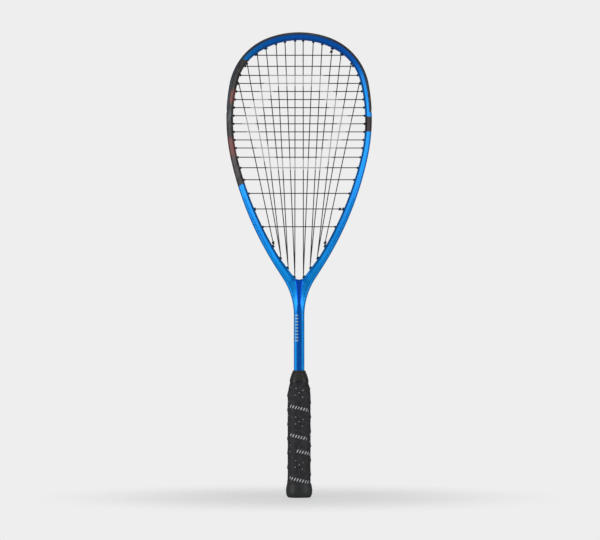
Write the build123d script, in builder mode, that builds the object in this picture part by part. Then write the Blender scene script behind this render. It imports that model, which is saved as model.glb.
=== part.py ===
from build123d import *
import math
import os

# Squash racket with a closed teardrop head, standing on its butt end.
# X runs across the head, Y along the string bed's normal with the front towards -Y, and +Z up the handle
# to the tip of the head. The origin is the centre of the butt end. Millimetres.

# ---- driving dimensions -------------------------------------------------------------------------------
OVERALL = 686.0                 # butt end to tip
ABOVE = OVERALL + 5.0           # a level clear of the tip
SPAN = 300.0                    # more than the racket's width, for blocks right across it
TINY = 1e-6
BEAM_DEPTH = 19.0               # front face to back face of the hoop
SHAFT_DEPTH = 17.0
DEPTH_THIN = 240.0              # below this level the moulding has the shaft's depth
DEPTH_FULL = 316.0              # and above this one the hoop's
SHAFT_END = 6.0                 # lower end of the moulding, inside the handle

# Outer outline of the right half, from the tip down: tangent arcs as (radius, degrees turned), clockwise
# when negative, and a straight run as (length, 0).
OUTER_RUNS = [(131.1, -19.6), (90.6, -60.0), (278.7, -22.9), (495.3, -20.3), (17.9, 0.0), (100.1, 32.8)]
# Outline of the string bed's opening, drawn the same way from the top to the bottom of the throat.
BED_TOP = 674.4
BED_RUNS = [(109.7, -32.6), (71.7, -42.9), (235.1, -28.7), (513.9, -16.9), (100.0, -5.5), (32.2, 0.0),
            (9.0, -53.4)]

EDGE_ROUND = 4.0                # outer edges of the beam
BED_BEVEL = 2.0                 # edges of the bed's opening
WALL = 1.6                      # carbon wall
GROOVE_HALF = 3.2               # half the width of the string groove round the outside
GROOVE_DEPTH = 3.2
STRIP_THICKNESS = 1.0           # floor of the bumper and of the grommet strips
GROOVE_LOW = 303.0              # lower end of the string groove
BUMPER_LOW = 568.0              # lower ends of the bumper guard
GROOVE_LIP = 0.9                # strip's sides left standing along the open groove
STRIP_GAP = 0.05                # between the strip's sides and the groove's
STRIP_TAIL = 6.0                # strip's run past its last grommet
BUMPER_GAP = 0.2                # between the bumper guard and what it meets end to end
THROAT_FOOT = 9.0               # length of a throat grommet's foot
HOLLOW_LOW = 345.0              # lower end of the hoop's hollow
# Recess in both faces of the throat, from the top down: half width and level.
THROAT_RECESS = [(5.6, 326.0), (3.1, 308.0), (2.7, 292.0)]
THROAT_RECESS_DEPTH = 2.5

STRING = 1.25                   # string diameter
LAYER = 0.7                     # mains lie this far behind the middle plane and crosses this far in front
LOOP_INSET = 1.2                # string's centre below the outer outline where it runs in the groove
LOOP_DIP = 0.15                 # furthest that a straight stretch of string leaves the groove's curve
LOOP_BEND = 1.6                 # string's bend at a grommet's outer end
GENTLE_BEND = 12.0              # and at its inner end
GENTLE_TURN = 40.0              # degrees up to which a turn takes the wider bend
BEND_SHARE = 0.45               # of the shorter neighbouring run that a bend may use
BARREL = 3.4                    # outside of a grommet barrel
BORE = 2.2
SHARED_BARREL = 4.9
SHARED_BORE = 3.3
BARREL_PROUD = 2.0              # barrel standing into the bed
FIT = 0.1                       # clearance of a barrel in its hole, on the radius
CUT_PAST = 6.0                  # run of a hole's cutter past the string's exit

MAINS_A_SIDE = 7
MAIN_FIRST = 6.0                # centre line to the first main, at the top
MAIN_PITCH = 14.1
MAIN_STAGGER = 0.9              # every second main stands this much further out
BED_INSIDE = 593.0              # a level inside the bed, below the mains' upper holes
HOLE_LEAN = 1.0                 # share of the frame's normal in a hole's direction
THROAT_LEVELS = [324.9, 338.2, 352.6, 370.3]   # throat grommets, shared by pairs of mains but the last
THROAT_PULL = (0.17, -0.98)     # direction of the mains that meet there
THROAT_LEAN = 1.6
CROSS_TOP = 653.1
CROSS_PITCH = 11.96
CROSS_GROWTH = 1.14             # widening of the gaps towards the throat
CROSS_GAPS = [16.6, 13.6] + [CROSS_PITCH] * 9 + [CROSS_PITCH * CROSS_GROWTH ** k for k in range(1, 7)]
SHARED_CROSS = 3                # the outermost main shares this cross's grommet
TIED_CROSS = 16                 # the cross string's lower end is tied to this cross
TIED_MAIN = 3                   # and its upper end to this main on the right
FAN_SLOPE = 0.03                # how much more each main leans outwards than the one before
KNOT = 3.2
KNOT_STEP = 3.0                 # knot's distance from its grommet
KNOT_DEPTH = KNOT / 2 + 0.05    # and from the middle plane, clear of the string it is tied to
KNOT_TURN = (35, 50, 10)        # keeps the seams of knot and string apart
CROSSOVER = 392.0               # level, below the last cross, where every second main changes layer

HANDLE_WIDTH = 31.2             # moulded handle under the grip
HANDLE_DEPTH = 25.8
HANDLE_CORNER = 7.0             # cut corners
CORNER_GROWTH = 0.6             # a layer's corner cut grows by this share of its thickness
HANDLE_LOW = 3.5
SHOULDER = 153.0                # where the handle starts to narrow
HANDLE_TOP = 182.0
GRIP_THICKNESS = 1.9
GRIP_LOW = 21.0
GRIP_TOP = 176.0
NECK_WIDTH = 19.4               # handle's upper end
NECK_DEPTH = 20.4
NECK_CORNER = 4.5
TAPE_THICKNESS = 0.4
TAPE_LOW = 170.0
TAPE_TOP = 174.0
COLLAR_LOW = 172.5
COLLAR_TOP = 187.5
COLLAR_WIDTH = 29.0             # collar's lower end
COLLAR_DEPTH = 28.2
COLLAR_CORNER = 6.8
COLLAR_TOP_WIDTH = 19.6
COLLAR_TOP_DEPTH = 21.0
COLLAR_TOP_CORNER = 4.6
BUTT_WIDTH = 39.4
BUTT_CORNER = 10.0              # cut corners of the widest part
# Butt cap's cross-sections: level, width and depth.
BUTT_SECTIONS = [(0, 30.6, 25.0), (1.6, 35.2, 29.4), (5, 38.2, 32.4), (11, BUTT_WIDTH, 33.6),
                 (17, 38.0, 32.2), (GRIP_LOW, 36.0, 30.4)]
BADGE = 22.0
BADGE_SUNK = 0.3
BADGE_THICKNESS = 0.8
TACK_LEVEL = 13.0
TACK_SEAT = 16.8                # outside of a tack's head from the middle plane
TACK_PIN = 1.4
TACK_HEAD = 3.6
TACK_HEAD_THICKNESS = 0.8
TACK_LENGTH = 6.6
PLUG_LENGTH = 14.0
CHANNEL_PLACE = 3.5             # hollow channels of the shaft, either side of its middle wall
CHANNEL_WIDTH = 5.4
CHANNEL_DEPTH = 12.8
CHANNEL_CORNER = 1.5
CHANNEL_TOP = 290.0


# ---- outlines -----------------------------------------------------------------------------------------
def draw_outline(top, runs, inset):
    """Draws one half of an outline as tangent arcs inside a BuildLine, moved inwards by inset."""
    place = Vector(0, top - inset)
    heading = Vector(1, 0)
    for size, turn in runs:
        if turn == 0:
            run = Line(place, place + heading * size)
        else:
            run = JernArc(place, heading, size + math.copysign(inset, turn), turn)
        place = run @ 1
        heading = run % 1
    return place


def half_outline(top, runs, inset, steps=40):
    """Points along one half of the same outline, for finding where a string meets it."""
    x, z, angle = 0.0, top - inset, 0.0
    points = [(x, z)]
    for size, turn in runs:
        if turn == 0:
            x += size * math.cos(angle)
            z += size * math.sin(angle)
            points.append((x, z))
            continue
        side = math.copysign(1, turn)
        radius = size + math.copysign(inset, turn)
        centre_x = x - side * radius * math.sin(angle)
        centre_z = z + side * radius * math.cos(angle)
        for step in range(1, steps + 1):
            there = angle + math.radians(turn) * step / steps
            x = centre_x + side * radius * math.sin(there)
            z = centre_z - side * radius * math.cos(there)
            points.append((x, z))
        angle += math.radians(turn)
    return points


def meet(outline, start, way):
    """The first crossing of a ray with an outline, and the outline's outward normal there."""
    nearest = None
    for (ax, az), (bx, bz) in zip(outline, outline[1:]):
        run_x, run_z = bx - ax, bz - az
        cross = way[0] * run_z - way[1] * run_x
        if abs(cross) < TINY:
            continue
        along = ((ax - start[0]) * run_z - (az - start[1]) * run_x) / cross
        share = ((ax - start[0]) * way[1] - (az - start[1]) * way[0]) / cross
        hits = along > TINY and -TINY <= share <= 1 + TINY
        if hits and (nearest is None or along < nearest[0]):
            length = math.hypot(run_x, run_z)
            nearest = (along, (-run_z / length, run_x / length))
    along, normal = nearest
    return (start[0] + way[0] * along, start[1] + way[1] * along), normal


BED_LINE = half_outline(BED_TOP, BED_RUNS, 0)
LOOP_LINE = half_outline(OVERALL, OUTER_RUNS, LOOP_INSET)


def unit(vector):
    """The vector at a length of one."""
    length = math.hypot(*vector)
    return (vector[0] / length, vector[1] / length)


class StringHole:
    """A string hole through the right half of the hoop, from the bed out to the groove."""

    def __init__(self, start, cast, pull, lean, layer, shared):
        self.wall, normal = meet(BED_LINE, start, cast)
        self.way = unit((pull[0] + lean * normal[0], pull[1] + lean * normal[1]))
        self.tip = (self.wall[0] - BARREL_PROUD * self.way[0], self.wall[1] - BARREL_PROUD * self.way[1])
        self.exit = meet(LOOP_LINE, self.wall, self.way)[0]
        self.layer = layer
        self.shared = shared

    def cylinder(self, side, diameter, start, reach):
        """Round rod along the hole's axis, for a side of -1 or +1."""
        origin = (side * start[0], self.layer, start[1])
        plane = Plane(origin=origin, z_dir=(side * self.way[0], 0, self.way[1]))
        with BuildPart(mode=Mode.PRIVATE) as rod:
            with BuildSketch(plane):
                Circle(diameter / 2)
            extrude(amount=reach)
        return rod.part

    def barrel(self, side):
        """Outside of the grommet's barrel."""
        size = SHARED_BARREL if self.shared else BARREL
        reach = math.dist(self.tip, self.exit)
        return self.cylinder(side, size, self.tip, reach)

    def cutter(self, side, diameter):
        """Rod that reaches past both ends of the barrel."""
        start = (self.tip[0] - self.way[0], self.tip[1] - self.way[1])
        return self.cylinder(side, diameter, start, math.dist(start, self.exit) + CUT_PAST)

    def bore(self, side):
        """String's passage through the barrel."""
        return self.cutter(side, SHARED_BORE if self.shared else BORE)

    def drilling(self, side):
        """Hole in the frame for the barrel."""
        return self.cutter(side, (SHARED_BARREL if self.shared else BARREL) + 2 * FIT)


# ---- where the strings run ----------------------------------------------------------------------------
cross_levels = [CROSS_TOP]
for gap in CROSS_GAPS:
    cross_levels.append(cross_levels[-1] - gap)

ACROSS = (1, 0)
cross_holes = []
for row, level in enumerate(cross_levels):
    shared = row in (SHARED_CROSS, TIED_CROSS)
    layer = 0 if shared else -LAYER
    cross_holes.append(StringHole((0, level), ACROSS, ACROSS, HOLE_LEAN, layer, shared))

main_holes = []
for row in range(MAINS_A_SIDE - 1):
    across = MAIN_FIRST + MAIN_PITCH * row + MAIN_STAGGER * (row % 2)
    pull = (FAN_SLOPE * row, 1)
    tied = row == TIED_MAIN
    layer = 0 if tied else LAYER
    main_holes.append(StringHole((across, BED_INSIDE), (0, 1), pull, HOLE_LEAN, layer, tied))
main_holes.append(cross_holes[SHARED_CROSS])

throat_holes = []
for level in THROAT_LEVELS:
    throat_holes.append(StringHole((0, level), ACROSS, THROAT_PULL, THROAT_LEAN, 0, True))


# ---- carbon frame: hoop, throat and shaft in one moulding ---------------------------------------------
def frame_blank(inset, half_depth):
    """Solid of the whole outline, filled in, moved inwards by inset."""
    with BuildPart(mode=Mode.PRIVATE) as blank:
        with BuildSketch(Plane.XZ):
            with BuildLine():
                last = draw_outline(OVERALL, OUTER_RUNS, inset)
                Polyline(last, (last.X, SHAFT_END), (0, SHAFT_END))
                Line((0, SHAFT_END), (0, OVERALL - inset))
            make_face()
            mirror(about=Plane.YZ)
        extrude(amount=half_depth, both=True)
    return blank.part


def bed_blank(inset, half_depth):
    """Solid filling the bed's opening, grown outwards by a negative inset."""
    with BuildPart(mode=Mode.PRIVATE) as blank:
        with BuildSketch(Plane.XZ):
            with BuildLine():
                last = draw_outline(BED_TOP, BED_RUNS, inset)
                Polyline(last, (0, last.Y), (0, BED_TOP - inset))
            make_face()
            mirror(about=Plane.YZ)
        extrude(amount=half_depth, both=True)
    return blank.part


def slab(low, high, half_depth=SPAN / 2):
    """Block across the whole racket between two levels."""
    with BuildPart(mode=Mode.PRIVATE) as block:
        with BuildSketch(Plane.XY.offset(low)):
            Rectangle(SPAN, 2 * half_depth)
        extrude(amount=high - low)
    return block.part


with BuildPart() as envelope:
    add(frame_blank(0, BEAM_DEPTH / 2))
    rims = envelope.faces().sort_by(Axis.Y)
    long_edges = rims[0].edges() + rims[-1].edges()
    fillet(long_edges.filter_by(lambda edge: edge.center().Z > SHAFT_END + 1), EDGE_ROUND)
    with BuildSketch(Plane.YZ):
        with BuildLine():
            Polyline((0, 0), (SHAFT_DEPTH / 2, 0), (SHAFT_DEPTH / 2, DEPTH_THIN),
                     (BEAM_DEPTH / 2, DEPTH_FULL), (BEAM_DEPTH / 2, ABOVE), (0, ABOVE), close=True)
        make_face()
        mirror(about=Plane.YZ)
    extrude(amount=SPAN / 2, both=True, mode=Mode.INTERSECT)

groove_floor = frame_blank(GROOVE_DEPTH, BEAM_DEPTH)
strip_face = frame_blank(GROOVE_DEPTH - STRIP_THICKNESS, BEAM_DEPTH)

with BuildPart() as channel:
    add(slab(GROOVE_LOW, ABOVE, GROOVE_HALF))
    add(groove_floor, mode=Mode.SUBTRACT)

with BuildPart() as bumper_room:
    add(slab(BUMPER_LOW, ABOVE))
    add(groove_floor, mode=Mode.SUBTRACT)

with BuildPart() as hoop_hollow:
    add(frame_blank(GROOVE_DEPTH + WALL, BEAM_DEPTH / 2 - WALL))
    add(bed_blank(-WALL, BEAM_DEPTH), mode=Mode.SUBTRACT)
    add(slab(HOLLOW_LOW, OVERALL), mode=Mode.INTERSECT)

with BuildPart() as frame:
    add(envelope.part)
    add(bed_blank(0, BEAM_DEPTH), mode=Mode.SUBTRACT)
    faces_out = frame.faces().filter_by(Axis.Y).sort_by(Axis.Y)
    mouth_edges = faces_out[0].inner_wires()[0].edges() + faces_out[-1].inner_wires()[0].edges()
    chamfer(mouth_edges, BED_BEVEL)
    for facing in (-1, 1):
        with BuildSketch(Plane.XZ.offset(-facing * BEAM_DEPTH / 2)):
            with BuildLine():
                Polyline((0, THROAT_RECESS[0][1]), *THROAT_RECESS, (0, THROAT_RECESS[-1][1]), close=True)
            make_face()
            mirror(about=Plane.YZ)
        extrude(amount=facing * THROAT_RECESS_DEPTH, mode=Mode.SUBTRACT)
    add(bumper_room.part, mode=Mode.SUBTRACT)
    add(channel.part, mode=Mode.SUBTRACT)
    add(hoop_hollow.part, mode=Mode.SUBTRACT)
    with BuildSketch(Plane.XY.offset(SHAFT_END)):
        for side in (-1, 1):
            with Locations((side * CHANNEL_PLACE, 0)):
                RectangleRounded(CHANNEL_WIDTH, CHANNEL_DEPTH, CHANNEL_CORNER)
    extrude(amount=CHANNEL_TOP - SHAFT_END, mode=Mode.SUBTRACT)
    for hole in cross_holes + main_holes[:-1] + throat_holes:
        for side in (-1, 1):
            add(hole.drilling(side), mode=Mode.SUBTRACT)


# ---- bumper guard and grommets ------------------------------------------------------------------------
def grommet_part(room, holes, sides):
    """Strip lying in room, with a barrel for each hole, open along the strings' groove."""
    with BuildPart(mode=Mode.PRIVATE) as strip:
        add(room)
        for hole in holes:
            for side in sides:
                add(hole.barrel(side))
        with BuildPart(mode=Mode.PRIVATE) as open_groove:
            add(slab(GROOVE_LOW, ABOVE, GROOVE_HALF - GROOVE_LIP))
            add(strip_face, mode=Mode.SUBTRACT)
        add(open_groove.part, mode=Mode.SUBTRACT)
        for hole in holes:
            for side in sides:
                add(hole.bore(side), mode=Mode.SUBTRACT)
    return strip.part


def side_room(side, low, high):
    """Floor of the groove between two levels on one side."""
    with BuildPart(mode=Mode.PRIVATE) as floor:
        add(slab(low, high, GROOVE_HALF - STRIP_GAP))
        add(groove_floor, mode=Mode.SUBTRACT)
        add(strip_face, mode=Mode.INTERSECT)
        with BuildSketch(Plane.XY.offset(low)):
            with Locations((side * SPAN / 4, 0)):
                Rectangle(SPAN / 2, BEAM_DEPTH)
        extrude(amount=high - low, mode=Mode.INTERSECT)
    return floor.part


with BuildPart() as bumper_band:
    add(envelope.part)
    add(groove_floor, mode=Mode.SUBTRACT)
    add(slab(BUMPER_LOW + BUMPER_GAP, ABOVE), mode=Mode.INTERSECT)

upper_crosses = [hole for hole in cross_holes if hole.exit[1] > BUMPER_LOW]
lower_crosses = [hole for hole in cross_holes if hole.exit[1] <= BUMPER_LOW]
with BuildPart() as bumper_guard:
    add(grommet_part(bumper_band.part, upper_crosses + main_holes[:-1], (-1, 1)))

strip_low = lower_crosses[-1].exit[1] - STRIP_TAIL
strip_high = BUMPER_LOW - BUMPER_GAP
with BuildPart() as grommet_strip_left:
    add(grommet_part(side_room(-1, strip_low, strip_high), lower_crosses, (-1,)))
with BuildPart() as grommet_strip_right:
    add(grommet_part(side_room(1, strip_low, strip_high), lower_crosses, (1,)))

throat_grommets = {}
for number, hole in enumerate(throat_holes, start=1):
    for side, side_name in ((-1, "left"), (1, "right")):
        low = hole.exit[1] - THROAT_FOOT / 2
        high = hole.exit[1] + THROAT_FOOT / 2
        with BuildPart() as throat_grommet:
            add(grommet_part(side_room(side, low, high), [hole], (side,)))
        throat_grommets[f"throat_grommet_{side_name}_{number}"] = throat_grommet.part


# ---- strings ------------------------------------------------------------------------------------------
def in_space(point, side, depth):
    """A point of the right half's outline in space, on a side of -1 or +1."""
    return Vector(side * point[0], depth, point[1])


def groove_points(first, last, side, depth):
    """Points needed between two exits for a string in the groove to follow its curve."""
    near = [min(range(len(LOOP_LINE)), key=lambda at: math.dist(LOOP_LINE[at], end)) for end in (first, last)]
    middle = LOOP_LINE[sum(near) // 2]
    chord = unit((last[0] - first[0], last[1] - first[1]))
    dip = abs((middle[0] - first[0]) * chord[1] - (middle[1] - first[1]) * chord[0])
    if dip < LOOP_DIP:
        return []
    before = groove_points(first, middle, side, depth)
    after = groove_points(middle, last, side, depth)
    return before + [in_space(middle, side, depth)] + after


def string_part(route):
    """Round string along straight runs joined by tangent arcs."""
    radii = []
    for before, corner, after in zip(route, route[1:], route[2:]):
        turn = (corner - before).get_angle(after - corner)
        room = BEND_SHARE * min((corner - before).length, (after - corner).length)
        largest = GENTLE_BEND
        if turn >= GENTLE_TURN:
            room = min(room, LOOP_BEND)
            largest = LOOP_BEND
        radii.append(min(largest, room / math.tan(math.radians(turn) / 2)))
    with BuildPart(mode=Mode.PRIVATE) as string:
        with BuildLine() as path:
            FilletPolyline(*route, radius=radii)
        with BuildSketch(Plane(origin=route[0], z_dir=route[1] - route[0])):
            Circle(STRING / 2)
        sweep(path=path.line)
    length = path.wires()[0].length
    print("string", round(length), "mm, bends", round(min(radii), 2), "to", round(max(radii), 2), "mm,",
          "volume ratio", round(string.part.volume / (math.pi * STRING ** 2 / 4 * length), 4))
    return string.part


def knot(host_tip, way, side, depth):
    """Half hitch beside the string it is tied to."""
    centre = (host_tip[0] + KNOT_STEP * way[0], host_tip[1] + KNOT_STEP * way[1])
    return in_space(centre, side, depth)


def throat_loop(row, side, depth):
    """Out of one throat grommet, along the groove and in through the next, both ends in the bed."""
    lower, upper = throat_holes[row], throat_holes[row + 1]
    points = [in_space(lower.tip, side, depth), in_space(lower.exit, side, depth)]
    points += groove_points(lower.exit, upper.exit, side, depth)
    points += [in_space(upper.exit, side, depth), in_space(upper.tip, side, depth)]
    return points


def top_loop(first_main, second_main, side):
    """Over the head from one main to the next, both ends in the bed."""
    first, second = main_holes[first_main], main_holes[second_main]
    points = [in_space(first.tip, side, LAYER), in_space(first.exit, side, LAYER)]
    points += groove_points(first.exit, second.exit, side, LAYER)
    points += [in_space(second.exit, side, LAYER), in_space(second.tip, side, LAYER)]
    return points


def crossover(main, row, side):
    """Where a main leaves its layer for the front half of its throat grommet."""
    top, bottom = main_holes[main].tip, throat_holes[row].tip
    share = (CROSSOVER - bottom[1]) / (top[1] - bottom[1])
    return in_space((bottom[0] + share * (top[0] - bottom[0]), CROSSOVER), side, LAYER)


def half_mains(side):
    """The main string from the middle of the top to its knot by the outermost throat grommet."""
    start = main_holes[0]
    points = [in_space(start.exit, side, LAYER), in_space(start.tip, side, LAYER)]
    points += throat_loop(0, side, LAYER)
    points += top_loop(2, 1, side)
    points += [crossover(1, 0, side)]
    points += throat_loop(0, side, -LAYER)
    points += [crossover(3, 1, side)]
    points += top_loop(3, 4, side)
    points += throat_loop(2, side, LAYER)
    points += top_loop(6, 5, side)
    points += [crossover(5, 2, side)]
    points += throat_loop(2, side, -LAYER)
    top, bottom = main_holes[6].tip, throat_holes[3].tip
    host = unit((top[0] - bottom[0], top[1] - bottom[1]))
    points += [knot(bottom, host, side, -KNOT_DEPTH)]
    return points


left_half = half_mains(-1)
right_half = half_mains(1)
main_route = left_half[::-1] + right_half
with BuildPart() as main_string:
    add(string_part(main_route))
    with Locations(main_route[0], main_route[-1]):
        Sphere(KNOT / 2, rotation=KNOT_TURN)

tied = main_holes[TIED_MAIN]
first_cross = cross_holes[0]
cross_route = [knot(tied.tip, (-tied.way[0], -tied.way[1]), 1, -KNOT_DEPTH)]
cross_route += [in_space(tied.tip, 1, -LAYER), in_space(tied.exit, 1, -LAYER)]
cross_route += groove_points(tied.exit, first_cross.exit, 1, -LAYER)
for row, hole in enumerate(cross_holes):
    side = 1 if row % 2 == 0 else -1
    cross_route += [in_space(hole.exit, side, -LAYER), in_space(hole.tip, side, -LAYER)]
    cross_route += [in_space(hole.tip, -side, -LAYER), in_space(hole.exit, -side, -LAYER)]
    if row + 1 < len(cross_holes):
        cross_route += groove_points(hole.exit, cross_holes[row + 1].exit, -side, -LAYER)
last_tie = cross_holes[TIED_CROSS]
cross_route += [in_space(last_tie.exit, 1, LAYER), in_space(last_tie.tip, 1, LAYER)]
cross_route += [knot(last_tie.tip, (-1, 0), 1, KNOT_DEPTH)]
with BuildPart() as cross_string:
    add(string_part(cross_route))
    with Locations(cross_route[0], cross_route[-1]):
        Sphere(KNOT / 2, rotation=KNOT_TURN)


# ---- handle, grip and butt ----------------------------------------------------------------------------
def handle_section(level, width, depth, corner):
    """Handle's cross-section: a rectangle with cut corners."""
    with BuildSketch(Plane.XY.offset(level), mode=Mode.PRIVATE) as section:
        Rectangle(width, depth)
        chamfer(section.vertices(), corner)
    return section.sketch


def handle_blank(grow, low, high):
    """Solid of the handle with everything grown outwards by grow."""
    width = HANDLE_WIDTH + 2 * grow
    depth = HANDLE_DEPTH + 2 * grow
    corner = HANDLE_CORNER + CORNER_GROWTH * grow
    neck_corner = NECK_CORNER + CORNER_GROWTH * grow
    with BuildPart(mode=Mode.PRIVATE) as blank:
        add(handle_section(low, width, depth, corner))
        extrude(amount=SHOULDER - low)
        add(handle_section(SHOULDER, width, depth, corner))
        add(handle_section(HANDLE_TOP, NECK_WIDTH + 2 * grow, NECK_DEPTH + 2 * grow, neck_corner))
        loft()
        add(slab(low - 1, high), mode=Mode.INTERSECT)
    return blank.part


with BuildPart() as shaft_room:
    add(envelope.part)
    add(slab(0, COLLAR_TOP + 1), mode=Mode.INTERSECT)

with BuildPart() as handle_core:
    add(handle_blank(0, HANDLE_LOW, HANDLE_TOP))
    add(shaft_room.part, mode=Mode.SUBTRACT)
    for facing in (-1, 1):
        with Locations(Plane(origin=(0, facing * TACK_SEAT, TACK_LEVEL), z_dir=(0, facing, 0))):
            Hole(TACK_PIN / 2, depth=TACK_LENGTH)

with BuildPart() as grip_wrap:
    add(handle_blank(GRIP_THICKNESS, GRIP_LOW, GRIP_TOP))
    add(handle_blank(0, GRIP_LOW - 1, GRIP_TOP + 1), mode=Mode.SUBTRACT)

with BuildPart() as finishing_tape:
    add(handle_blank(GRIP_THICKNESS + TAPE_THICKNESS, TAPE_LOW, TAPE_TOP))
    add(handle_blank(GRIP_THICKNESS, TAPE_LOW - 1, TAPE_TOP + 1), mode=Mode.SUBTRACT)

with BuildPart() as shaft_plug:
    with BuildSketch(Plane.XY.offset(SHAFT_END)):
        for side in (-1, 1):
            with Locations((side * CHANNEL_PLACE, 0)):
                RectangleRounded(CHANNEL_WIDTH, CHANNEL_DEPTH, CHANNEL_CORNER)
    extrude(amount=PLUG_LENGTH)

with BuildPart() as grip_collar:
    add(handle_section(COLLAR_LOW, COLLAR_WIDTH, COLLAR_DEPTH, COLLAR_CORNER))
    add(handle_section(COLLAR_TOP, COLLAR_TOP_WIDTH, COLLAR_TOP_DEPTH, COLLAR_TOP_CORNER))
    loft()
    add(handle_blank(GRIP_THICKNESS + TAPE_THICKNESS, TAPE_LOW, TAPE_TOP), mode=Mode.SUBTRACT)
    add(handle_blank(GRIP_THICKNESS, TAPE_LOW, GRIP_TOP), mode=Mode.SUBTRACT)
    add(handle_blank(0, TAPE_LOW, HANDLE_TOP), mode=Mode.SUBTRACT)
    add(shaft_room.part, mode=Mode.SUBTRACT)

with BuildPart() as butt_cap:
    for level, width, depth in BUTT_SECTIONS:
        add(handle_section(level, width, depth, BUTT_CORNER * width / BUTT_WIDTH))
    loft(ruled=True)
    add(handle_blank(0, HANDLE_LOW, HANDLE_TOP), mode=Mode.SUBTRACT)
    with BuildSketch(Plane.XY):
        Circle(BADGE / 2)
    extrude(amount=BADGE_SUNK + BADGE_THICKNESS, mode=Mode.SUBTRACT)
    for facing in (-1, 1):
        with Locations(Plane(origin=(0, facing * TACK_SEAT, TACK_LEVEL), z_dir=(0, facing, 0))):
            CounterBoreHole(TACK_PIN / 2, TACK_HEAD / 2, TACK_HEAD_THICKNESS, depth=TACK_LENGTH)

with BuildPart() as butt_badge:
    with BuildSketch(Plane.XY.offset(BADGE_SUNK)):
        Circle(BADGE / 2)
    extrude(amount=BADGE_THICKNESS)

with BuildPart() as butt_tacks:
    for facing in (-1, 1):
        seat = Plane(origin=(0, facing * TACK_SEAT, TACK_LEVEL), z_dir=(0, -facing, 0))
        with BuildSketch(seat):
            Circle(TACK_HEAD / 2)
        extrude(amount=TACK_HEAD_THICKNESS)
        with BuildSketch(seat):
            Circle(TACK_PIN / 2)
        extrude(amount=TACK_LENGTH)


# ---- write the parts ----------------------------------------------------------------------------------
os.makedirs("parts", exist_ok=True)
nodes = {
    "frame": frame.part,
    "bumper_guard": bumper_guard.part,
    "grommet_strip_left": grommet_strip_left.part,
    "grommet_strip_right": grommet_strip_right.part,
    "main_string": main_string.part,
    "cross_string": cross_string.part,
    "handle_core": handle_core.part,
    "grip_wrap": grip_wrap.part,
    "finishing_tape": finishing_tape.part,
    "shaft_plug": shaft_plug.part,
    "grip_collar": grip_collar.part,
    "butt_cap": butt_cap.part,
    "butt_badge": butt_badge.part,
    "butt_tacks": butt_tacks.part,
}
nodes.update(throat_grommets)
for name, shape in nodes.items():
    shape.label = name
    export_step(shape, f"parts/{name}.step")
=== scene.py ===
"""Squash racket: the looks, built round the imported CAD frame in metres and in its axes.

X runs across the head, Y along the string bed's normal with the front towards -Y, and Z up from the butt.
"""

from __future__ import annotations

import logging
import math
from dataclasses import dataclass
from enum import Enum
from typing import Any, Sequence

import bmesh
import bpy
import numpy as np
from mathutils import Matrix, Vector


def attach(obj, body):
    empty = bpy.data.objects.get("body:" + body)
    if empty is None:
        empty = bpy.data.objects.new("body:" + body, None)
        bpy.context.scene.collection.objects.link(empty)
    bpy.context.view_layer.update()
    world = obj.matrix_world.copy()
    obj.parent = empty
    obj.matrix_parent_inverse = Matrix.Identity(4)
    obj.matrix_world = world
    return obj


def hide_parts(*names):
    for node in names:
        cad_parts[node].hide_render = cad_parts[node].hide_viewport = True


logging.basicConfig(level=logging.INFO, format="%(message)s")
LOG = logging.getLogger("racket")
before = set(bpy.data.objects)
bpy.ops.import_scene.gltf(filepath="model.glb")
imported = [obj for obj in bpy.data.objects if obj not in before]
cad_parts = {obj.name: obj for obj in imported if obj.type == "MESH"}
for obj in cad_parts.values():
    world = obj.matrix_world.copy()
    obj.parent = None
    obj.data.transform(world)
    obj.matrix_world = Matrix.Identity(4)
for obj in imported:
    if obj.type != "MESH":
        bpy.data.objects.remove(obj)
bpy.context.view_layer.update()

MM = 0.001
ROOT = "root"
Pair = tuple[float, float]
Triple = tuple[float, float, float]


class Side(Enum):
    """The two sides of the racket, seen from the front."""

    LEFT = -1
    RIGHT = 1


# ---- numbers shared by several sub-assemblies -----------------------------------------------------------
@dataclass(frozen=True)
class Outline:
    """Right half of an outline in the string bed's plane, as tangent arcs and straight runs, in mm.

    Attributes:
        top: Level at which it crosses the centre line.
        runs: (radius, degrees turned) of each arc, clockwise when negative, or (length, 0).
    """

    top: float
    runs: tuple[Pair, ...]

    def trace(self, step: float, inset: float = 0.0) -> list[tuple[Pair, Pair]]:
        """Walks the outline from the top.

        Args:
            step: Longest distance between two points.
            inset: How far the outline is moved inwards first.

        Returns:
            Points with the outward normal at each.
        """
        x, z, angle = 0.0, self.top - inset, 0.0
        points: list[tuple[Pair, Pair]] = [((x, z), (0.0, 1.0))]
        for size, turn in self.runs:
            if turn == 0:
                count = max(1, math.ceil(size / step))
                for _ in range(count):
                    x += size / count * math.cos(angle)
                    z += size / count * math.sin(angle)
                    points.append(((x, z), (-math.sin(angle), math.cos(angle))))
                continue
            side = math.copysign(1.0, turn)
            radius = size + math.copysign(inset, turn)
            centre = (x - side * radius * math.sin(angle), z + side * radius * math.cos(angle))
            count = max(2, math.ceil(radius * math.radians(abs(turn)) / step))
            for index in range(1, count + 1):
                there = angle + math.radians(turn) * index / count
                x = centre[0] + side * radius * math.sin(there)
                z = centre[1] - side * radius * math.cos(there)
                points.append(((x, z), (-math.sin(there), math.cos(there))))
            angle += math.radians(turn)
        return points


HEAD = Outline(686.0, ((131.1, -19.6), (90.6, -60.0), (278.7, -22.9), (495.3, -20.3), (17.9, 0.0),
                       (100.1, 32.8)))
BED = Outline(674.4, ((109.7, -32.6), (71.7, -42.9), (235.1, -28.7), (513.9, -16.9), (100.0, -5.5),
                      (32.2, 0.0), (9.0, -53.4)))
BUMPER_LOW = 568.0
STRING_DIAMETER = 1.4
MAINS_A_SIDE = 7
BARREL_LENGTH = 6.5
GRIP_LOW = 21.0
WELD = 0.00001


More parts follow.
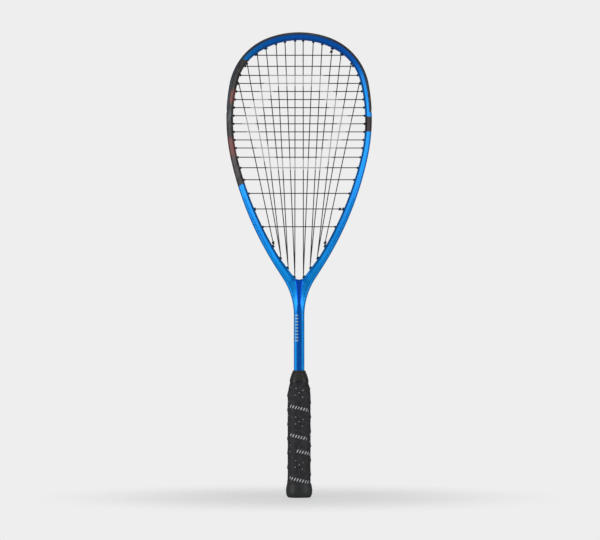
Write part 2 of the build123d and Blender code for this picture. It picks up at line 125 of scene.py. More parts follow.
def smooth(value: float, low: float, high: float) -> float:
    """Smooth step from 0 at low to 1 at high."""
    share = min(1.0, max(0.0, (value - low) / (high - low)))
    return share * share * (3 - 2 * share)


def mix(first: float, second: float, share: float) -> float:
    """Value share of the way from first to second."""
    return first + (second - first) * share


def circle(radius: float, count: int) -> list[Pair]:
    """Points round a circle."""
    turns = [2 * math.pi * number / count for number in range(count)]
    return [(radius * math.cos(turn), radius * math.sin(turn)) for turn in turns]


def curve_value(stops: Sequence[Pair], at: float) -> float:
    """Value of a smooth curve through stops (place, value) sorted by place."""
    if at <= stops[0][0]:
        return stops[0][1]
    for (low, before), (high, after) in zip(stops, stops[1:]):
        if at <= high:
            return mix(before, after, smooth(at, low, high))
    return stops[-1][1]


# ---- mesh helpers ---------------------------------------------------------------------------------------
class MeshPot:
    """Collects vertices and faces in mm and pours them into one Blender object in metres."""

    def __init__(self) -> None:
        """Starts empty."""
        self.points: list[Triple] = []
        self.faces: list[tuple[int, ...]] = []

    def ring_loft(self, rings: Sequence[Sequence[Triple]], closed: bool, caps: bool = False) -> None:
        """Joins rings of equal length with quads.

        Args:
            rings: The rings, in order along the shape.
            closed: Whether each ring closes on itself.
            caps: Whether the first and last rings are filled.
        """
        base = len(self.points)
        width = len(rings[0])
        for ring in rings:
            self.points.extend(ring)
        for row in range(len(rings) - 1):
            for column in range(width if closed else width - 1):
                a = base + row * width + column
                b = base + row * width + (column + 1) % width
                self.faces.append((a, b, b + width, a + width))
        if caps:
            self.faces.append(tuple(base + column for column in reversed(range(width))))
            last = base + (len(rings) - 1) * width
            self.faces.append(tuple(last + column for column in range(width)))

    def plate(self, ring: Sequence[Triple]) -> None:
        """Adds one flat face."""
        base = len(self.points)
        self.points.extend(ring)
        self.faces.append(tuple(range(base, base + len(ring))))

    def pour(self, name: str, weld: float = 0.0, smooth_angle: float = 35.0) -> bpy.types.Object:
        """Makes the object.

        Args:
            name: The piece's name.
            weld: Distance in mm under which points are merged, or 0.
            smooth_angle: Edges sharper than this many degrees stay sharp.

        Returns:
            The new object, at the origin.
        """
        mesh = bpy.data.meshes.new(name)
        mesh.from_pydata([(x * MM, y * MM, z * MM) for x, y, z in self.points], [], self.faces)
        piece = bpy.data.objects.new(name, mesh)
        bpy.context.scene.collection.objects.link(piece)
        finish_mesh(piece, weld * MM, smooth_angle)
        return piece


def finish_mesh(piece: bpy.types.Object, weld: float, smooth_angle: float) -> None:
    """Welds, turns faces outwards and sets smooth shading with sharp creases."""
    work = bmesh.new()
    work.from_mesh(piece.data)
    if weld > 0:
        bmesh.ops.remove_doubles(work, verts=work.verts, dist=weld)
        bmesh.ops.dissolve_degenerate(work, dist=weld / 10, edges=work.edges)
    bmesh.ops.recalc_face_normals(work, faces=work.faces)
    limit = math.radians(smooth_angle)
    for edge in work.edges:
        edge.smooth = not (len(edge.link_faces) == 2 and edge.calc_face_angle(0.0) > limit)
    for face in work.faces:
        face.smooth = True
    work.to_mesh(piece.data)
    work.free()


def join(name: str, pieces: Sequence[bpy.types.Object]) -> bpy.types.Object:
    """Joins meshes into the first one and names it."""
    with bpy.context.temp_override(active_object=pieces[0], selected_editable_objects=list(pieces)):
        bpy.ops.object.join()
    pieces[0].name = name
    return pieces[0]


def tube_along(points: Sequence[Vector], radius: float, sides: int = 8) -> MeshPot:
    """A round tube along points, in mm, closed at both ends with rounded tips."""
    pot = MeshPot()
    rings: list[list[Triple]] = []
    tangents = []
    for index, point in enumerate(points):
        before = points[max(0, index - 1)]
        after = points[min(len(points) - 1, index + 1)]
        tangents.append((after - before).normalized())
    across = tangents[0].orthogonal().normalized()
    for index, (point, tangent) in enumerate(zip(points, tangents)):
        across = (across - tangent * across.dot(tangent)).normalized()
        up = tangent.cross(across)
        girth = radius * (0.45 if index in (0, len(points) - 1) else 1.0)
        ring = []
        for corner in range(sides):
            angle = 2 * math.pi * corner / sides
            place = point + girth * (math.cos(angle) * across + math.sin(angle) * up)
            ring.append(tuple(place))
        rings.append(ring)
    pot.ring_loft(rings, closed=True, caps=True)
    return pot


# ---- shader helpers -------------------------------------------------------------------------------------
Input = Any


class Wire:
    """A node's output that takes part in arithmetic."""

    def __init__(self, bench: "Bench", socket: bpy.types.NodeSocket) -> None:
        """Wraps a socket of the bench's node tree."""
        self.bench = bench
        self.socket = socket

    def _math(self, operation: str, *values: Input) -> "Wire":
        """Adds a Math node on this tree."""
        return self.bench.add("ShaderNodeMath", {"operation": operation}, *values)

    def __add__(self, other: Input) -> "Wire":
        """Sum."""
        return self._math("ADD", self, other)

    __radd__ = __add__

    def __sub__(self, other: Input) -> "Wire":
        """Difference."""
        return self._math("SUBTRACT", self, other)

    def __rsub__(self, other: Input) -> "Wire":
        """Reflected difference, as in 1 - mask."""
        return self._math("SUBTRACT", other, self)

    def __mul__(self, other: Input) -> "Wire":
        """Product."""
        return self._math("MULTIPLY", self, other)

    __rmul__ = __mul__

    def __truediv__(self, other: Input) -> "Wire":
        """Quotient."""
        return self._math("DIVIDE", self, other)

    def __pow__(self, other: Input) -> "Wire":
        """Power."""
        return self._math("POWER", self, other)

    def __lt__(self, other: Input) -> "Wire":
        """1 where less."""
        return self._math("LESS_THAN", self, other)

    def __abs__(self) -> "Wire":
        """Size without sign."""
        return self._math("ABSOLUTE", self)

    def fraction(self) -> "Wire":
        """Part after the point."""
        return self._math("FRACT", self)

    def least(self, other: Input) -> "Wire":
        """The smaller of two."""
        return self._math("MINIMUM", self, other)

    def most(self, other: Input) -> "Wire":
        """The larger of two."""
        return self._math("MAXIMUM", self, other)

    def rise(self, low: float, high: float) -> "Wire":
        """Smooth step from 0 at low to 1 at high, or down when low is the larger."""
        settings = {"interpolation_type": "SMOOTHSTEP"}
        if low < high:
            return self.bench.add("ShaderNodeMapRange", settings, self, low, high, 0.0, 1.0)
        return self.bench.add("ShaderNodeMapRange", settings, self, high, low, 1.0, 0.0)

    def band(self, low: float, high: float, soft: float) -> "Wire":
        """1 between low and high, with soft edges."""
        return self.rise(low - soft, low + soft) * self.rise(high + soft, high - soft)


class Bench:
    """Builds one material's node tree."""

    def __init__(self, name: str) -> None:
        """Starts a material with only its output and a Principled shader."""
        self.material = bpy.data.materials.new(name)
        self.material.use_nodes = True
        self.tree = self.material.node_tree
        self.tree.nodes.clear()
        self.output = self.tree.nodes.new("ShaderNodeOutputMaterial")
        self.shader = self.tree.nodes.new("ShaderNodeBsdfPrincipled")
        self.tree.links.new(self.shader.outputs["BSDF"], self.output.inputs["Surface"])

    def plug(self, target: bpy.types.NodeSocket, value: Input) -> None:
        """Links a wire to a socket, or sets its value."""
        if isinstance(value, Wire):
            self.tree.links.new(value.socket, target)
        elif isinstance(value, tuple) and target.type == "RGBA" and len(value) == 3:
            target.default_value = (*value, 1.0)
        else:
            target.default_value = value

    def add(self, kind: str, settings: dict[str, Any], *values: Input, out: int | str = 0, **named: Input
            ) -> Wire:
        """Adds a node.

        Args:
            kind: The node's type name.
            settings: Its own properties, set before its sockets.
            *values: Values or wires for its inputs, in order.
            out: The output that is returned.
            **named: More inputs, by name with spaces as underscores.

        Returns:
            The chosen output.
        """
        node = self.tree.nodes.new(kind)
        for setting, value in settings.items():
            setattr(node, setting, value)
        for target, value in zip(node.inputs, values):
            self.plug(target, value)
        for label, value in named.items():
            self.plug(node.inputs[label.replace("_", " ")], value)
        return Wire(self, node.outputs[out])

    def place(self) -> tuple[Wire, Wire, Wire, Wire]:
        """Object coordinates as a vector and as x, y and z, in metres."""
        coords = self.add("ShaderNodeTexCoord", {}, out="Object")
        split = self.tree.nodes.new("ShaderNodeSeparateXYZ")
        self.plug(split.inputs[0], coords)
        return (coords, *(Wire(self, split.outputs[axis]) for axis in range(3)))

    def noise(self, where: Wire, scale: float, detail: float = 2.0, rough: float = 0.5) -> Wire:
        """Noise from 0 to 1."""
        return self.add("ShaderNodeTexNoise", {}, Vector=where, Scale=scale, Detail=detail, Roughness=rough)

    def stretch(self, where: Wire, by: Triple, turn: Triple = (0.0, 0.0, 0.0)) -> Wire:
        """Vector turned and scaled for each axis."""
        return self.add("ShaderNodeMapping", {"vector_type": "POINT"}, Vector=where, Scale=by, Rotation=turn)

    def blend(self, share: Input, first: Input, second: Input) -> Wire:
        """Colour mixed from two by a share."""
        node = self.tree.nodes.new("ShaderNodeMix")
        node.data_type = "RGBA"
        self.plug(node.inputs[0], share)
        self.plug(node.inputs[6], first)
        self.plug(node.inputs[7], second)
        return Wire(self, node.outputs[2])

    def bump(self, height: Wire, distance: float, strength: float = 1.0, under: Wire | None = None) -> Wire:
        """Normal from a height; distance in metres."""
        named: dict[str, Input] = {"Height": height, "Distance": distance, "Strength": strength}
        if under is not None:
            named["Normal"] = under
        return self.add("ShaderNodeBump", {}, **named)

    def set(self, **sockets: Input) -> None:
        """Sets or links the Principled shader's sockets, by name with underscores."""
        for label, value in sockets.items():
            self.plug(self.shader.inputs[label.replace("_", " ")], value)


# ---- finishes -------------------------------------------------------------------------------------------
@dataclass(frozen=True)
class Lacquer:
    """Metallic lacquer of the frame, with its crown darkened as painted shade, its lower limbs brightened as
    a painted highlight, a smoky panel and a web deepened as painted shade.

    Attributes:
        side: Blue of the limbs.
        crown: Darker blue round the top of the head, painted shade for upward faces that the side lights
            miss.
        throat: Brighter blue of the limbs' lower ends, a painted highlight of the side lights on their
            slanted facets.
        shaft: Blue of the shaft.
        web: Deep blue of the throat's web and of the shaft's middle, painted shade for the dark reflection of
            faces that look straight out of the front.
        flake: Colour of the metal flakes.
        smoke: Grey of the left limb's panel.
        slate: Grey of the panel's middle.
        soot: Darker shards in the panel.
        char: Ground of the right limb's patch.
        rust: Red-brown glow in both.
        print_white: Pale ink of the bars on the shaft.
        panel: Levels of the panel's ends, in metres.
        patch: Levels of the patch's ends.
        ticks: Levels of the ends of the row of bars.
        tick_count: Number of bars.
    """

    side: Triple = (0.002, 0.275, 0.86)
    crown: Triple = (0.001, 0.18, 0.90)
    throat: Triple = (0.002, 0.35, 1.0)
    shaft: Triple = (0.004, 0.30, 0.86)
    web: Triple = (0.0003, 0.105, 0.80)
    flake: Triple = (0.05, 0.50, 1.0)
    smoke: Triple = (0.062, 0.052, 0.052)
    slate: Triple = (0.064, 0.080, 0.084)
    soot: Triple = (0.016, 0.012, 0.013)
    char: Triple = (0.020, 0.009, 0.009)
    rust: Triple = (0.26, 0.065, 0.052)
    print_white: Triple = (0.42, 0.66, 0.80)
    panel: Pair = (0.4575, 0.648)
    patch: Pair = (0.540, 0.5625)
    ticks: Pair = (0.2295, 0.2715)
    tick_count: int = 9

    def material(self) -> bpy.types.Material:
        """Builds the lacquer."""
        bench = Bench("lacquer")
        where, x, y, z = bench.place()
        flakes = bench.add("ShaderNodeTexVoronoi", {"feature": "F1"}, Vector=where, Scale=2600.0, out="Color")
        sparkle = bench.add("ShaderNodeSeparateColor", {}, flakes)
        drift = bench.noise(where, 22.0, 3.0)
        # Painted shade: the crown is darkened where its faces turn up, away from the side lights.
        base = bench.blend((z + drift * 0.03 + x * 0.28).rise(0.635, 0.700), self.side, self.crown)
        # Painted highlight: the limbs' lower ends are brightened as if lit by the side lights.
        base = bench.blend(z.rise(0.390, 0.345), base, self.throat)
        base = bench.blend(z.rise(0.315, 0.290), base, self.shaft)
        # Painted shade: the web and the middle of the shaft are darkened to stand for the dark reflection of
        # their front faces.
        soft = z.rise(0.295, 0.270)
        reach = abs(x) - (z - 0.300).most(0.0) * 0.11
        centre = reach.rise(0.0036, 0.0024) * (1 - soft) + reach.rise(0.0052, 0.0008) * soft
        base = bench.blend(centre * z.rise(0.328, 0.320) * (0.92 - soft * 0.12), base, self.web)
        base = bench.blend(sparkle * 0.10, base, self.flake)
        cover, dark = self._panels(bench, where, x, z)
        base = bench.blend(cover, base, dark)
        marks = self._ticks(x, y, z)
        base = bench.blend(marks, base, self.print_white)
        wear = bench.noise(where, 340.0, 4.0, 0.6)
        orange_peel = bench.noise(where, 900.0, 1.0)
        bench.set(
            Base_Color=base,
            Metallic=(1 - cover * 0.75) * 0.90 * (1 - marks),
            Roughness=0.33 + wear * 0.08 + sparkle * 0.05 + cover * 0.02,
            Normal=bench.bump(orange_peel, 0.00002, 0.5),
            Coat_Weight=0.25 - wear * 0.1,
            Coat_Roughness=0.10,
        )
        return bench.material

    def _panels(self, bench: Bench, where: Wire, x: Wire, z: Wire) -> tuple[Wire, Wire]:
        """Cover and colour of the smoky panel on the left and of the patch on the right."""
        ragged = bench.noise(bench.stretch(where, (1.0, 1.0, 0.35), (0.0, 0.5, 0.0)), 60.0, 1.0) - 0.5
        tilt = (x + 0.09) * (z.rise(0.50, 0.55) * 0.85 - 0.60)
        edge = z + ragged * 0.006 + tilt
        panel = edge.band(*self.panel, 0.0008) * x.rise(-0.040, -0.045)
        patch = (z + ragged * 0.004).band(*self.patch, 0.0007) * x.rise(0.080, 0.085)
        shards = bench.noise(bench.stretch(where, (1.0, 0.6, 0.5), (0.0, 0.7, 0.3)), 120.0, 2.0)
        streaks = bench.noise(bench.stretch(where, (1.0, 1.0, 0.16), (0.0, -0.15, 0.0)), 260.0, 2.0)
        grey = bench.blend(z.band(0.545, 0.580, 0.004), self.smoke, self.slate)
        grey = bench.blend(shards.rise(0.54, 0.50) * 0.85, grey, self.soot)
        warm = z.band(0.583, 0.600, 0.006) * 1.2 + z.band(0.504, 0.530, 0.006) * 0.7
        warm = warm + patch * x.rise(0.098, 0.094)
        warm = warm.least(1.0) * streaks.rise(0.28, 0.46)
        dark = bench.blend(warm, grey, self.rust)
        dark = bench.blend(patch * (1 - warm) * 0.92, dark, self.char)
        return (panel + patch).least(1.0), dark

    def _ticks(self, x: Wire, y: Wire, z: Wire) -> Wire:
        """Short plain bars down the left of the shaft's front."""
        low, high = self.ticks
        bars = ((z - low) / ((high - low) / self.tick_count)).fraction().band(0.20, 0.62, 0.05)
        return bars * z.band(low, high, 0.0001) * x.band(-0.0060, -0.0016, 0.0002) * (y < -0.003)


@dataclass(frozen=True)
class Moulding:
    """Satin moulded plastic or rubber.

    Attributes:
        name: The material's name.
        colour: Its colour.
        pale: Its colour where it is clouded.
        roughness: Its middle roughness.
        grain: Scale of the grain.
        depth: Depth of the grain, in metres.
        scuffs: How strong its scuffs are, from 0 to 1.
        scuff_grey: Colour of a scuff.
    """

    name: str
    colour: Triple
    pale: Triple
    roughness: float
    grain: float = 900.0
    depth: float = 0.00004
    scuffs: float = 0.0
    scuff_grey: Triple = (0.16, 0.17, 0.18)

    def material(self) -> bpy.types.Material:
        """Builds the moulded finish."""
        bench = Bench(self.name)
        where, _x, _y, _z = bench.place()
        cloud = bench.noise(where, 60.0, 3.0)
        grain = bench.noise(where, self.grain, 3.0, 0.6)
        scratch = bench.noise(bench.stretch(where, (1.0, 5.0, 1.0), (0.2, 0.0, 0.6)), 220.0, 4.0, 0.7)
        worn = scratch.rise(0.60, 0.72) * self.scuffs
        colour = bench.blend(cloud.rise(0.3, 0.8) * 0.6, self.colour, self.pale)
        colour = bench.blend(worn, colour, self.scuff_grey)
        bench.set(
            Base_Color=colour,
            Roughness=self.roughness + grain * 0.16 - 0.08 + worn * 0.2,
            Normal=bench.bump(grain, self.depth, 0.6),
        )
        return bench.material


@dataclass(frozen=True)
class StringCoat:
    """Coated black string with a plain stencilled hexagon across the bed.

    Attributes:
        black: Its colour.
        shine: Its colour where it is polished.
        paint: Colour of the stencil.
        middle: The hexagon's middle, in metres.
        reach: Distance from there to its sides.
        width: Width of its line.
    """

    black: Triple = (0.012, 0.012, 0.014)
    shine: Triple = (0.03, 0.03, 0.034)
    paint: Triple = (0.58, 0.59, 0.60)
    middle: Pair = (-0.004, 0.553)
    reach: float = 0.070
    width: float = 0.017

    def material(self) -> bpy.types.Material:
        """Builds the strings' finish."""
        bench = Bench("string_coat")
        where, x, _y, z = bench.place()
        twist = bench.noise(where, 1500.0, 2.0)
        worn = bench.noise(where, 300.0, 2.0)
        colour = bench.blend(worn.rise(0.35, 0.7), self.black, self.shine)
        paint = self._mark(x, z) * (0.80 + 0.2 * worn.rise(0.3, 0.5))
        colour = bench.blend(paint, colour, self.paint)
        rough = 0.34 + worn * 0.2 + paint * 0.25
        bench.set(Base_Color=colour, Roughness=rough, Normal=bench.bump(twist, 0.00003, 0.5))
        return bench.material

    def _mark(self, x: Wire, z: Wire) -> Wire:
        """A hexagon's outline."""
        across = abs(x - self.middle[0])
        along = abs(z - self.middle[1])
        reach = along.most(along * 0.5 + across * 0.866)
        return reach.band(self.reach - self.width, self.reach, 0.0006)


@dataclass(frozen=True)
class GripSkin:
    """Perforated black synthetic leather, wound as a spiral; reads the wrap's own map.

    The map runs along the strip in U and across it in V, both in mm.

    Attributes:
        black: Its colour.
        grey: Its colour where it is clouded.
        edge_grey: Its colour where its edges are rubbed.
        print_white: Colour of the printed bars.
        prints: (middle, half length) of each group of bars along the strip.
        bar_pitch: Distance between two bars.
    """

    black: Triple = (0.0065, 0.006, 0.0075)
    grey: Triple = (0.030, 0.029, 0.034)
    edge_grey: Triple = (0.05, 0.05, 0.055)
    print_white: Triple = (0.60, 0.61, 0.63)
    prints: tuple[Pair, ...] = ((80.0, 18.0), (243.0, 13.0), (289.0, 12.5), (351.0, 13.0), (406.0, 14.5),
                                (459.0, 11.0), (566.0, 13.0), (621.0, 17.0), (681.0, 12.0))
    bar_pitch: float = 4.6

    def material(self, strip: float) -> bpy.types.Material:
        """Builds the skin.

        Args:
            strip: Width of the strip in mm.

        Returns:
            The material.
        """
        bench = Bench("grip_skin")
        where, _x, _y, _z = bench.place()
        chart = bench.add("ShaderNodeUVMap", {"uv_map": "strip"})
        split = bench.tree.nodes.new("ShaderNodeSeparateXYZ")
        bench.plug(split.inputs[0], chart)
        along, across = Wire(bench, split.outputs[0]), Wire(bench, split.outputs[1])
        hide = bench.add("ShaderNodeTexVoronoi", {"feature": "DISTANCE_TO_EDGE"}, Vector=where, Scale=1100.0)
        creases = hide.rise(0.0, 0.12)
        cloud = bench.noise(where, 240.0, 4.0, 0.65)
        colour = bench.blend(cloud.rise(0.40, 0.66), self.black, self.grey)
        edge = across.rise(1.6, 0.2) + across.rise(strip - 1.4, strip - 0.2)
        colour = bench.blend(edge.least(1.0) * 0.3, colour, self.edge_grey)
        ink = self._ticks(along, across, strip) * cloud.rise(0.25, 0.45)
        colour = bench.blend(ink, colour, self.print_white)
        rough = 0.52 + cloud * 0.22 - ink * 0.1
        tack = bench.bump(creases, 0.00006, 0.6)
        wrinkle = bench.bump(cloud, 0.00025, 0.4, tack)
        bench.set(Base_Color=colour, Roughness=rough, Normal=wrinkle)
        return bench.material

    def _ticks(self, along: Wire, across: Wire, strip: float) -> Wire:
        """Groups of slanted plain bars printed along the strip's middle."""
        groups = along * 0.0
        for middle, half in self.prints:
            groups = groups + along.band(middle - half, middle + half, 0.3)
        bars = ((along + across * 0.55) / self.bar_pitch).fraction().band(0.24, 0.62, 0.05)
        return bars * groups * across.band(strip * 0.385, strip * 0.60, 0.2)


@dataclass(frozen=True)
class Metal:
    """Blackened steel.

    Attributes:
        colour: Its colour.
        bright: Its colour where it is rubbed.
    """

    colour: Triple = (0.035, 0.035, 0.038)
    bright: Triple = (0.06, 0.06, 0.065)

    def material(self) -> bpy.types.Material:
        """Builds the metal."""
        bench = Bench("black_steel")
        where, _x, _y, _z = bench.place()
        swirl = bench.noise(bench.stretch(where, (8.0, 1.0, 1.0)), 700.0, 2.0)
        bench.set(Base_Color=bench.blend(swirl, self.colour, self.bright), Metallic=0.8,
                  Roughness=0.42 + swirl * 0.2)
        return bench.material


@dataclass(frozen=True)
class BadgeEnamel:
    """Gloss blue disc with a plain pale ring.

    Attributes:
        radius: Outside of the disc, in metres.
        blue: Its colour.
        bright: Its colour where it is clouded.
        pale: Colour of the ring.
    """

    radius: float = 0.011
    blue: Triple = (0.004, 0.12, 0.55)
    bright: Triple = (0.006, 0.2, 0.72)
    pale: Triple = (0.7, 0.73, 0.76)

    def material(self) -> bpy.types.Material:
        """Builds the badge's finish."""
        bench = Bench("badge_enamel")
        where, x, y, _z = bench.place()
        reach = (x * x + y * y) ** 0.5
        ring = reach.band(self.radius * 0.60, self.radius * 0.70, 0.0001)
        cloud = bench.noise(where, 400.0, 2.0)
        colour = bench.blend(cloud * 0.5, self.blue, self.bright)
        colour = bench.blend(ring, colour, self.pale)
        bench.set(Base_Color=colour, Roughness=0.22 + cloud * 0.1, Coat_Weight=0.6, Coat_Roughness=0.05)
        return bench.material


# ---- frame ----------------------------------------------------------------------------------------------
@dataclass
class FrameMoulding:
    """Carbon moulding: hoop, throat and shaft in one skin.

    A quarter of the skin is drawn as rows from the outside edge to the bed's edge, or to the centre line
    below the throat, and mirrored twice. Every row climbs from the edge to a ridge and falls inwards again.

    Attributes:
        depth: Half the depth of the hoop.
        shaft_depth: Half the depth of the shaft.
        shaft_half: Half the width of the shaft.
        shaft_end: Level of the moulding's lower end.
        groove: Half width and depth of the string groove.
        groove_low: Level where the groove runs out.
        seat: Depth of the bumper guard's seat round the crown.
        facet: Width of the outer facet.
        facet_drop: How far its inner edge lies below the ridge.
        edge_drop: How far its outer edge does.
        crease: Depth of the crease between the facets.
        bevel_drop: Fall of the bevel towards the bed.
        web_drop: Depth of the throat's sunk web.
        step: Distance between rows.
        fine: Distance between the places on the inner path that rows may look at.
        bevel_widths: (level, width) of the bevel towards the bed.
        web_widths: (level, half width) of the web.
        wall: Points of a row that lie on the bed's inner wall.
    """

    depth: float = 9.5
    shaft_depth: float = 8.5
    shaft_half: float = 7.79
    shaft_end: float = 6.0
    groove: float = 3.2
    groove_low: float = 303.0
    seat: float = 3.2
    facet: float = 3.4
    facet_drop: float = 1.5
    edge_drop: float = 3.4
    crease: float = 0.1
    bevel_drop: float = 4.4
    web_drop: float = 2.2
    step: float = 2.2
    bevel_widths: tuple[Pair, ...] = ((321.0, 5.4), (326.0, 4.5), (336.0, 3.8), (380.0, 2.9))
    web_widths: tuple[Pair, ...] = ((262.0, 2.9), (294.0, 2.7), (308.0, 3.2), (321.0, 5.4))
    fine: float = 0.5
    wall: int = 3

    def rows(self) -> list[tuple[Pair, Pair, bool]]:
        """Outer and inner end of each row down the right half, and whether the inner one is on the bed."""
        outer = [point for point, _ in HEAD.trace(self.step)]
        high = outer[-1][1]
        count = int((high - self.shaft_end) / (2 * self.step))
        outer += [(self.shaft_half, mix(high, self.shaft_end, (index + 1) / count)) for index in range(count)]
        inner = [(point, True) for point, _ in BED.trace(self.fine)]
        low = inner[-1][0][1]
        count = int((low - self.shaft_end) / self.fine)
        inner += [((0.0, mix(low, self.shaft_end, (index + 1) / count)), False) for index in range(count)]
        eased = self._partners(outer, [point for point, _ in inner])
        table = [(point, *inner[int(round(place))]) for point, place in zip(outer, eased)]
        last = max(index for index, row in enumerate(table) if row[2])
        table[last] = (table[last][0], (0.0, low), True)
        return self._with_bumper_step(table)

    @staticmethod
    def _partners(outer: Sequence[Pair], inner: Sequence[Pair]) -> np.ndarray:
        """Place along the inner path that each outer point looks at, rising and evened out."""
        places = np.array(inner)
        nearest: list[float] = []
        for point in outer:
            gap = np.hypot(places[:, 0] - point[0], places[:, 1] - point[1])
            nearest.append(float(max(gap.argmin(), nearest[-1] if nearest else 0)))
        eased = np.array(nearest)
        for _ in range(40):
            eased[1:-1] = (eased[:-2] + 2 * eased[1:-1] + eased[2:]) / 4
        eased[0], eased[-1] = 0, len(inner) - 1
        return eased

    @staticmethod
    def _with_bumper_step(table: Sequence[tuple[Pair, Pair, bool]]) -> list[tuple[Pair, Pair, bool]]:
        """Adds a close pair of rows where the bumper guard's seat ends."""
        rows = [table[0]]
        for before, after in zip(table, table[1:]):
            if before[0][1] > BUMPER_LOW >= after[0][1]:
                share = (before[0][1] - BUMPER_LOW) / (before[0][1] - after[0][1])
                for place in (share - 0.02, share + 0.02):
                    ends = [tuple(mix(one, two, place) for one, two in zip(before[end], after[end]))
                            for end in (0, 1)]
                    rows.append((ends[0], ends[1], True))
            rows.append(after)
        return rows

    def profile(self, outer: Pair, inner: Pair, on_bed: bool) -> list[Pair]:
        """(distance in from the edge, distance out from the middle plane) of the points of a row."""
        width = math.dist(outer, inner)
        deep = mix(self.shaft_depth, self.depth, smooth(outer[1], 240.0, 316.0))
        beam = smooth(inner[1], 322.0, 348.0)
        if on_bed:
            fall = curve_value(self.bevel_widths, inner[1])
        else:
            lean = max(0.5, (outer[0] - inner[0]) / width)
            fall = curve_value(self.web_widths, inner[1]) / lean
        ridge = width - fall
        facet = min(self.facet, 0.72 * ridge)
        if outer[1] > BUMPER_LOW:
            edge = [(self.seat, high) for high in (0.0, 1.5, 3.0, 4.0, 5.0, 6.0, 6.6, 7.1)]
            edge += [(self.seat + 0.05, deep - 2.1), (self.seat + 0.45, deep - 1.55)]
        else:
            cut = self.groove * smooth(outer[1], self.groove_low - 3, self.groove_low + 3)
            lip = min(cut, 0.45)
            edge = [(cut, 0.0), (cut, self.groove - 0.5), (cut, self.groove - 0.1), (lip, self.groove),
                    (0.2 * lip, self.groove + 0.3), (0.0, deep - 5.1), (0.15, deep - 4.3),
                    (0.5, deep - self.edge_drop - 0.55), (0.95, deep - self.edge_drop),
                    (mix(0.95, facet, 0.5), deep - mix(self.edge_drop, self.facet_drop, 0.54))]
        dip = self.crease * smooth(width, 8.0, 9.0)
        face = [(facet, deep - self.facet_drop + 0.02)]
        face += [(mix(facet, ridge, share), deep - mix(self.facet_drop, 0.04, share) - dip * down)
                 for share, down in ((0.12, 0.5), (0.24, 1.0), (0.40, 0.7), (0.60, 0.25), (0.84, 0.0))]
        web = self.web_drop * smooth(inner[1], 276.0, 312.0)
        inside = [(ridge, deep)]
        for share, bevel, sunk in ((0.10, 0.07, 0.12), (0.20, 0.17, 0.55), (0.34, 0.33, 0.92),
                                   (0.62, 0.64, 1.0), (0.88, 0.90, 1.0), (1.0, 1.0, 1.0)):
            inside.append((mix(ridge, width, share), deep - mix(web * sunk, self.bevel_drop * bevel, beam)))
        return edge + face + inside

    def quarter_ring(self, outer: Pair, inner: Pair, on_bed: bool) -> list[Triple]:
        """One row of the quarter skin, from the middle of the outside to the middle of the inside."""
        width = math.dist(outer, inner)
        stops = self.profile(outer, inner, on_bed)
        if on_bed:
            top = stops[-1][1]
            stops += [(width, top - 0.8), (width, top * 0.5), (width, 0.0)]
        return [(mix(outer[0], inner[0], across / width), -high, mix(outer[1], inner[1], across / width))
                for across, high in stops]

    def build(self) -> bpy.types.Object:
        """Makes the skin."""
        rows = self.rows()
        rings = [self.quarter_ring(*row) for row in rows]
        face = [ring[:-self.wall] if row[2] else ring for ring, row in zip(rings, rows)]
        inside = [ring[-self.wall - 1:] for ring, row in zip(rings, rows) if row[2]]
        pot = MeshPot()
        for flip_x in (1, -1):
            for flip_y in (1, -1):
                for strip in (face, inside):
                    pot.ring_loft([[(flip_x * x, flip_y * y, z) for x, y, z in ring] for ring in strip],
                                  closed=False)
        end = face[-1]
        loop = list(end)
        loop += [(-x, y, z) for x, y, z in reversed(end[:-1])]
        loop += [(-x, -y, z) for x, y, z in end[1:]]
        loop += [(x, -y, z) for x, y, z in reversed(end[1:-1])]
        pot.plate(loop)
        piece = pot.pour("frame_moulding", weld=0.004, smooth_angle=26.0)
        return dress(piece, Lacquer().material(), "painted_carbon", "frame")


def dress(piece: bpy.types.Object, finish: bpy.types.Material, slot: str, *nodes: str) -> bpy.types.Object:
    """Gives a piece its finish, lets it ride on the racket and hides the CAD nodes that it replaces.

    Args:
        piece: The piece.
        finish: Its material.
        slot: Not used.
        *nodes: CAD nodes that it replaces.

    Returns:
        The piece.
    """
    piece.data.materials.clear()
    piece.data.materials.append(finish)
    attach(piece, ROOT)
    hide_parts(*nodes)
    return piece


# ---- string holes ---------------------------------------------------------------------------------------
def unit(vector: Pair) -> Pair:
    """Vector of length 1."""
    length = math.hypot(*vector)
    return (vector[0] / length, vector[1] / length)


def meet(outline: Sequence[Pair], start: Pair, way: Pair) -> tuple[Pair, Pair]:
    """First crossing of a ray with an outline, and the outward normal there."""
    nearest = (math.inf, (0.0, 1.0))
    for (ax, az), (bx, bz) in zip(outline, outline[1:]):
        run_x, run_z = bx - ax, bz - az
        cross = way[0] * run_z - way[1] * run_x
        if abs(cross) < 1e-9:
            continue
        along = ((ax - start[0]) * run_z - (az - start[1]) * run_x) / cross
        share = ((ax - start[0]) * way[1] - (az - start[1]) * way[0]) / cross
        if 1e-6 < along < nearest[0] and -1e-6 <= share <= 1 + 1e-6:
            nearest = (along, unit((-run_z, run_x)))
    along, normal = nearest
    return (start[0] + way[0] * along, start[1] + way[1] * along), normal


BED_LINE = [point for point, _ in BED.trace(0.8)]
LOOP_LINE = [point for point, _ in HEAD.trace(0.8, 1.2)]


@dataclass
class StringHole:
    """A string hole through the right half of the hoop, with its grommet's barrel.

    Attributes:
        start: Point in the bed from which the hole is sought.
        cast: Way in which it is sought.
        pull: Way in which the string pulls.
        lean: How much the hole keeps to the outline's normal.
        layer: Distance behind the middle plane.
        shared: Whether two strings use it.
        proud: How far the barrel stands into the bed.
    """

    start: Pair
    cast: Pair
    pull: Pair
    lean: float
    layer: float
    shared: bool = False
    proud: float = 2.0

    def __post_init__(self) -> None:
        """Finds the hole's ends."""
        wall, normal = meet(BED_LINE, self.start, self.cast)
        self.way = unit((self.pull[0] + self.lean * normal[0], self.pull[1] + self.lean * normal[1]))
        self.tip = (wall[0] - self.proud * self.way[0], wall[1] - self.proud * self.way[1])
        self.exit = meet(LOOP_LINE, wall, self.way)[0]


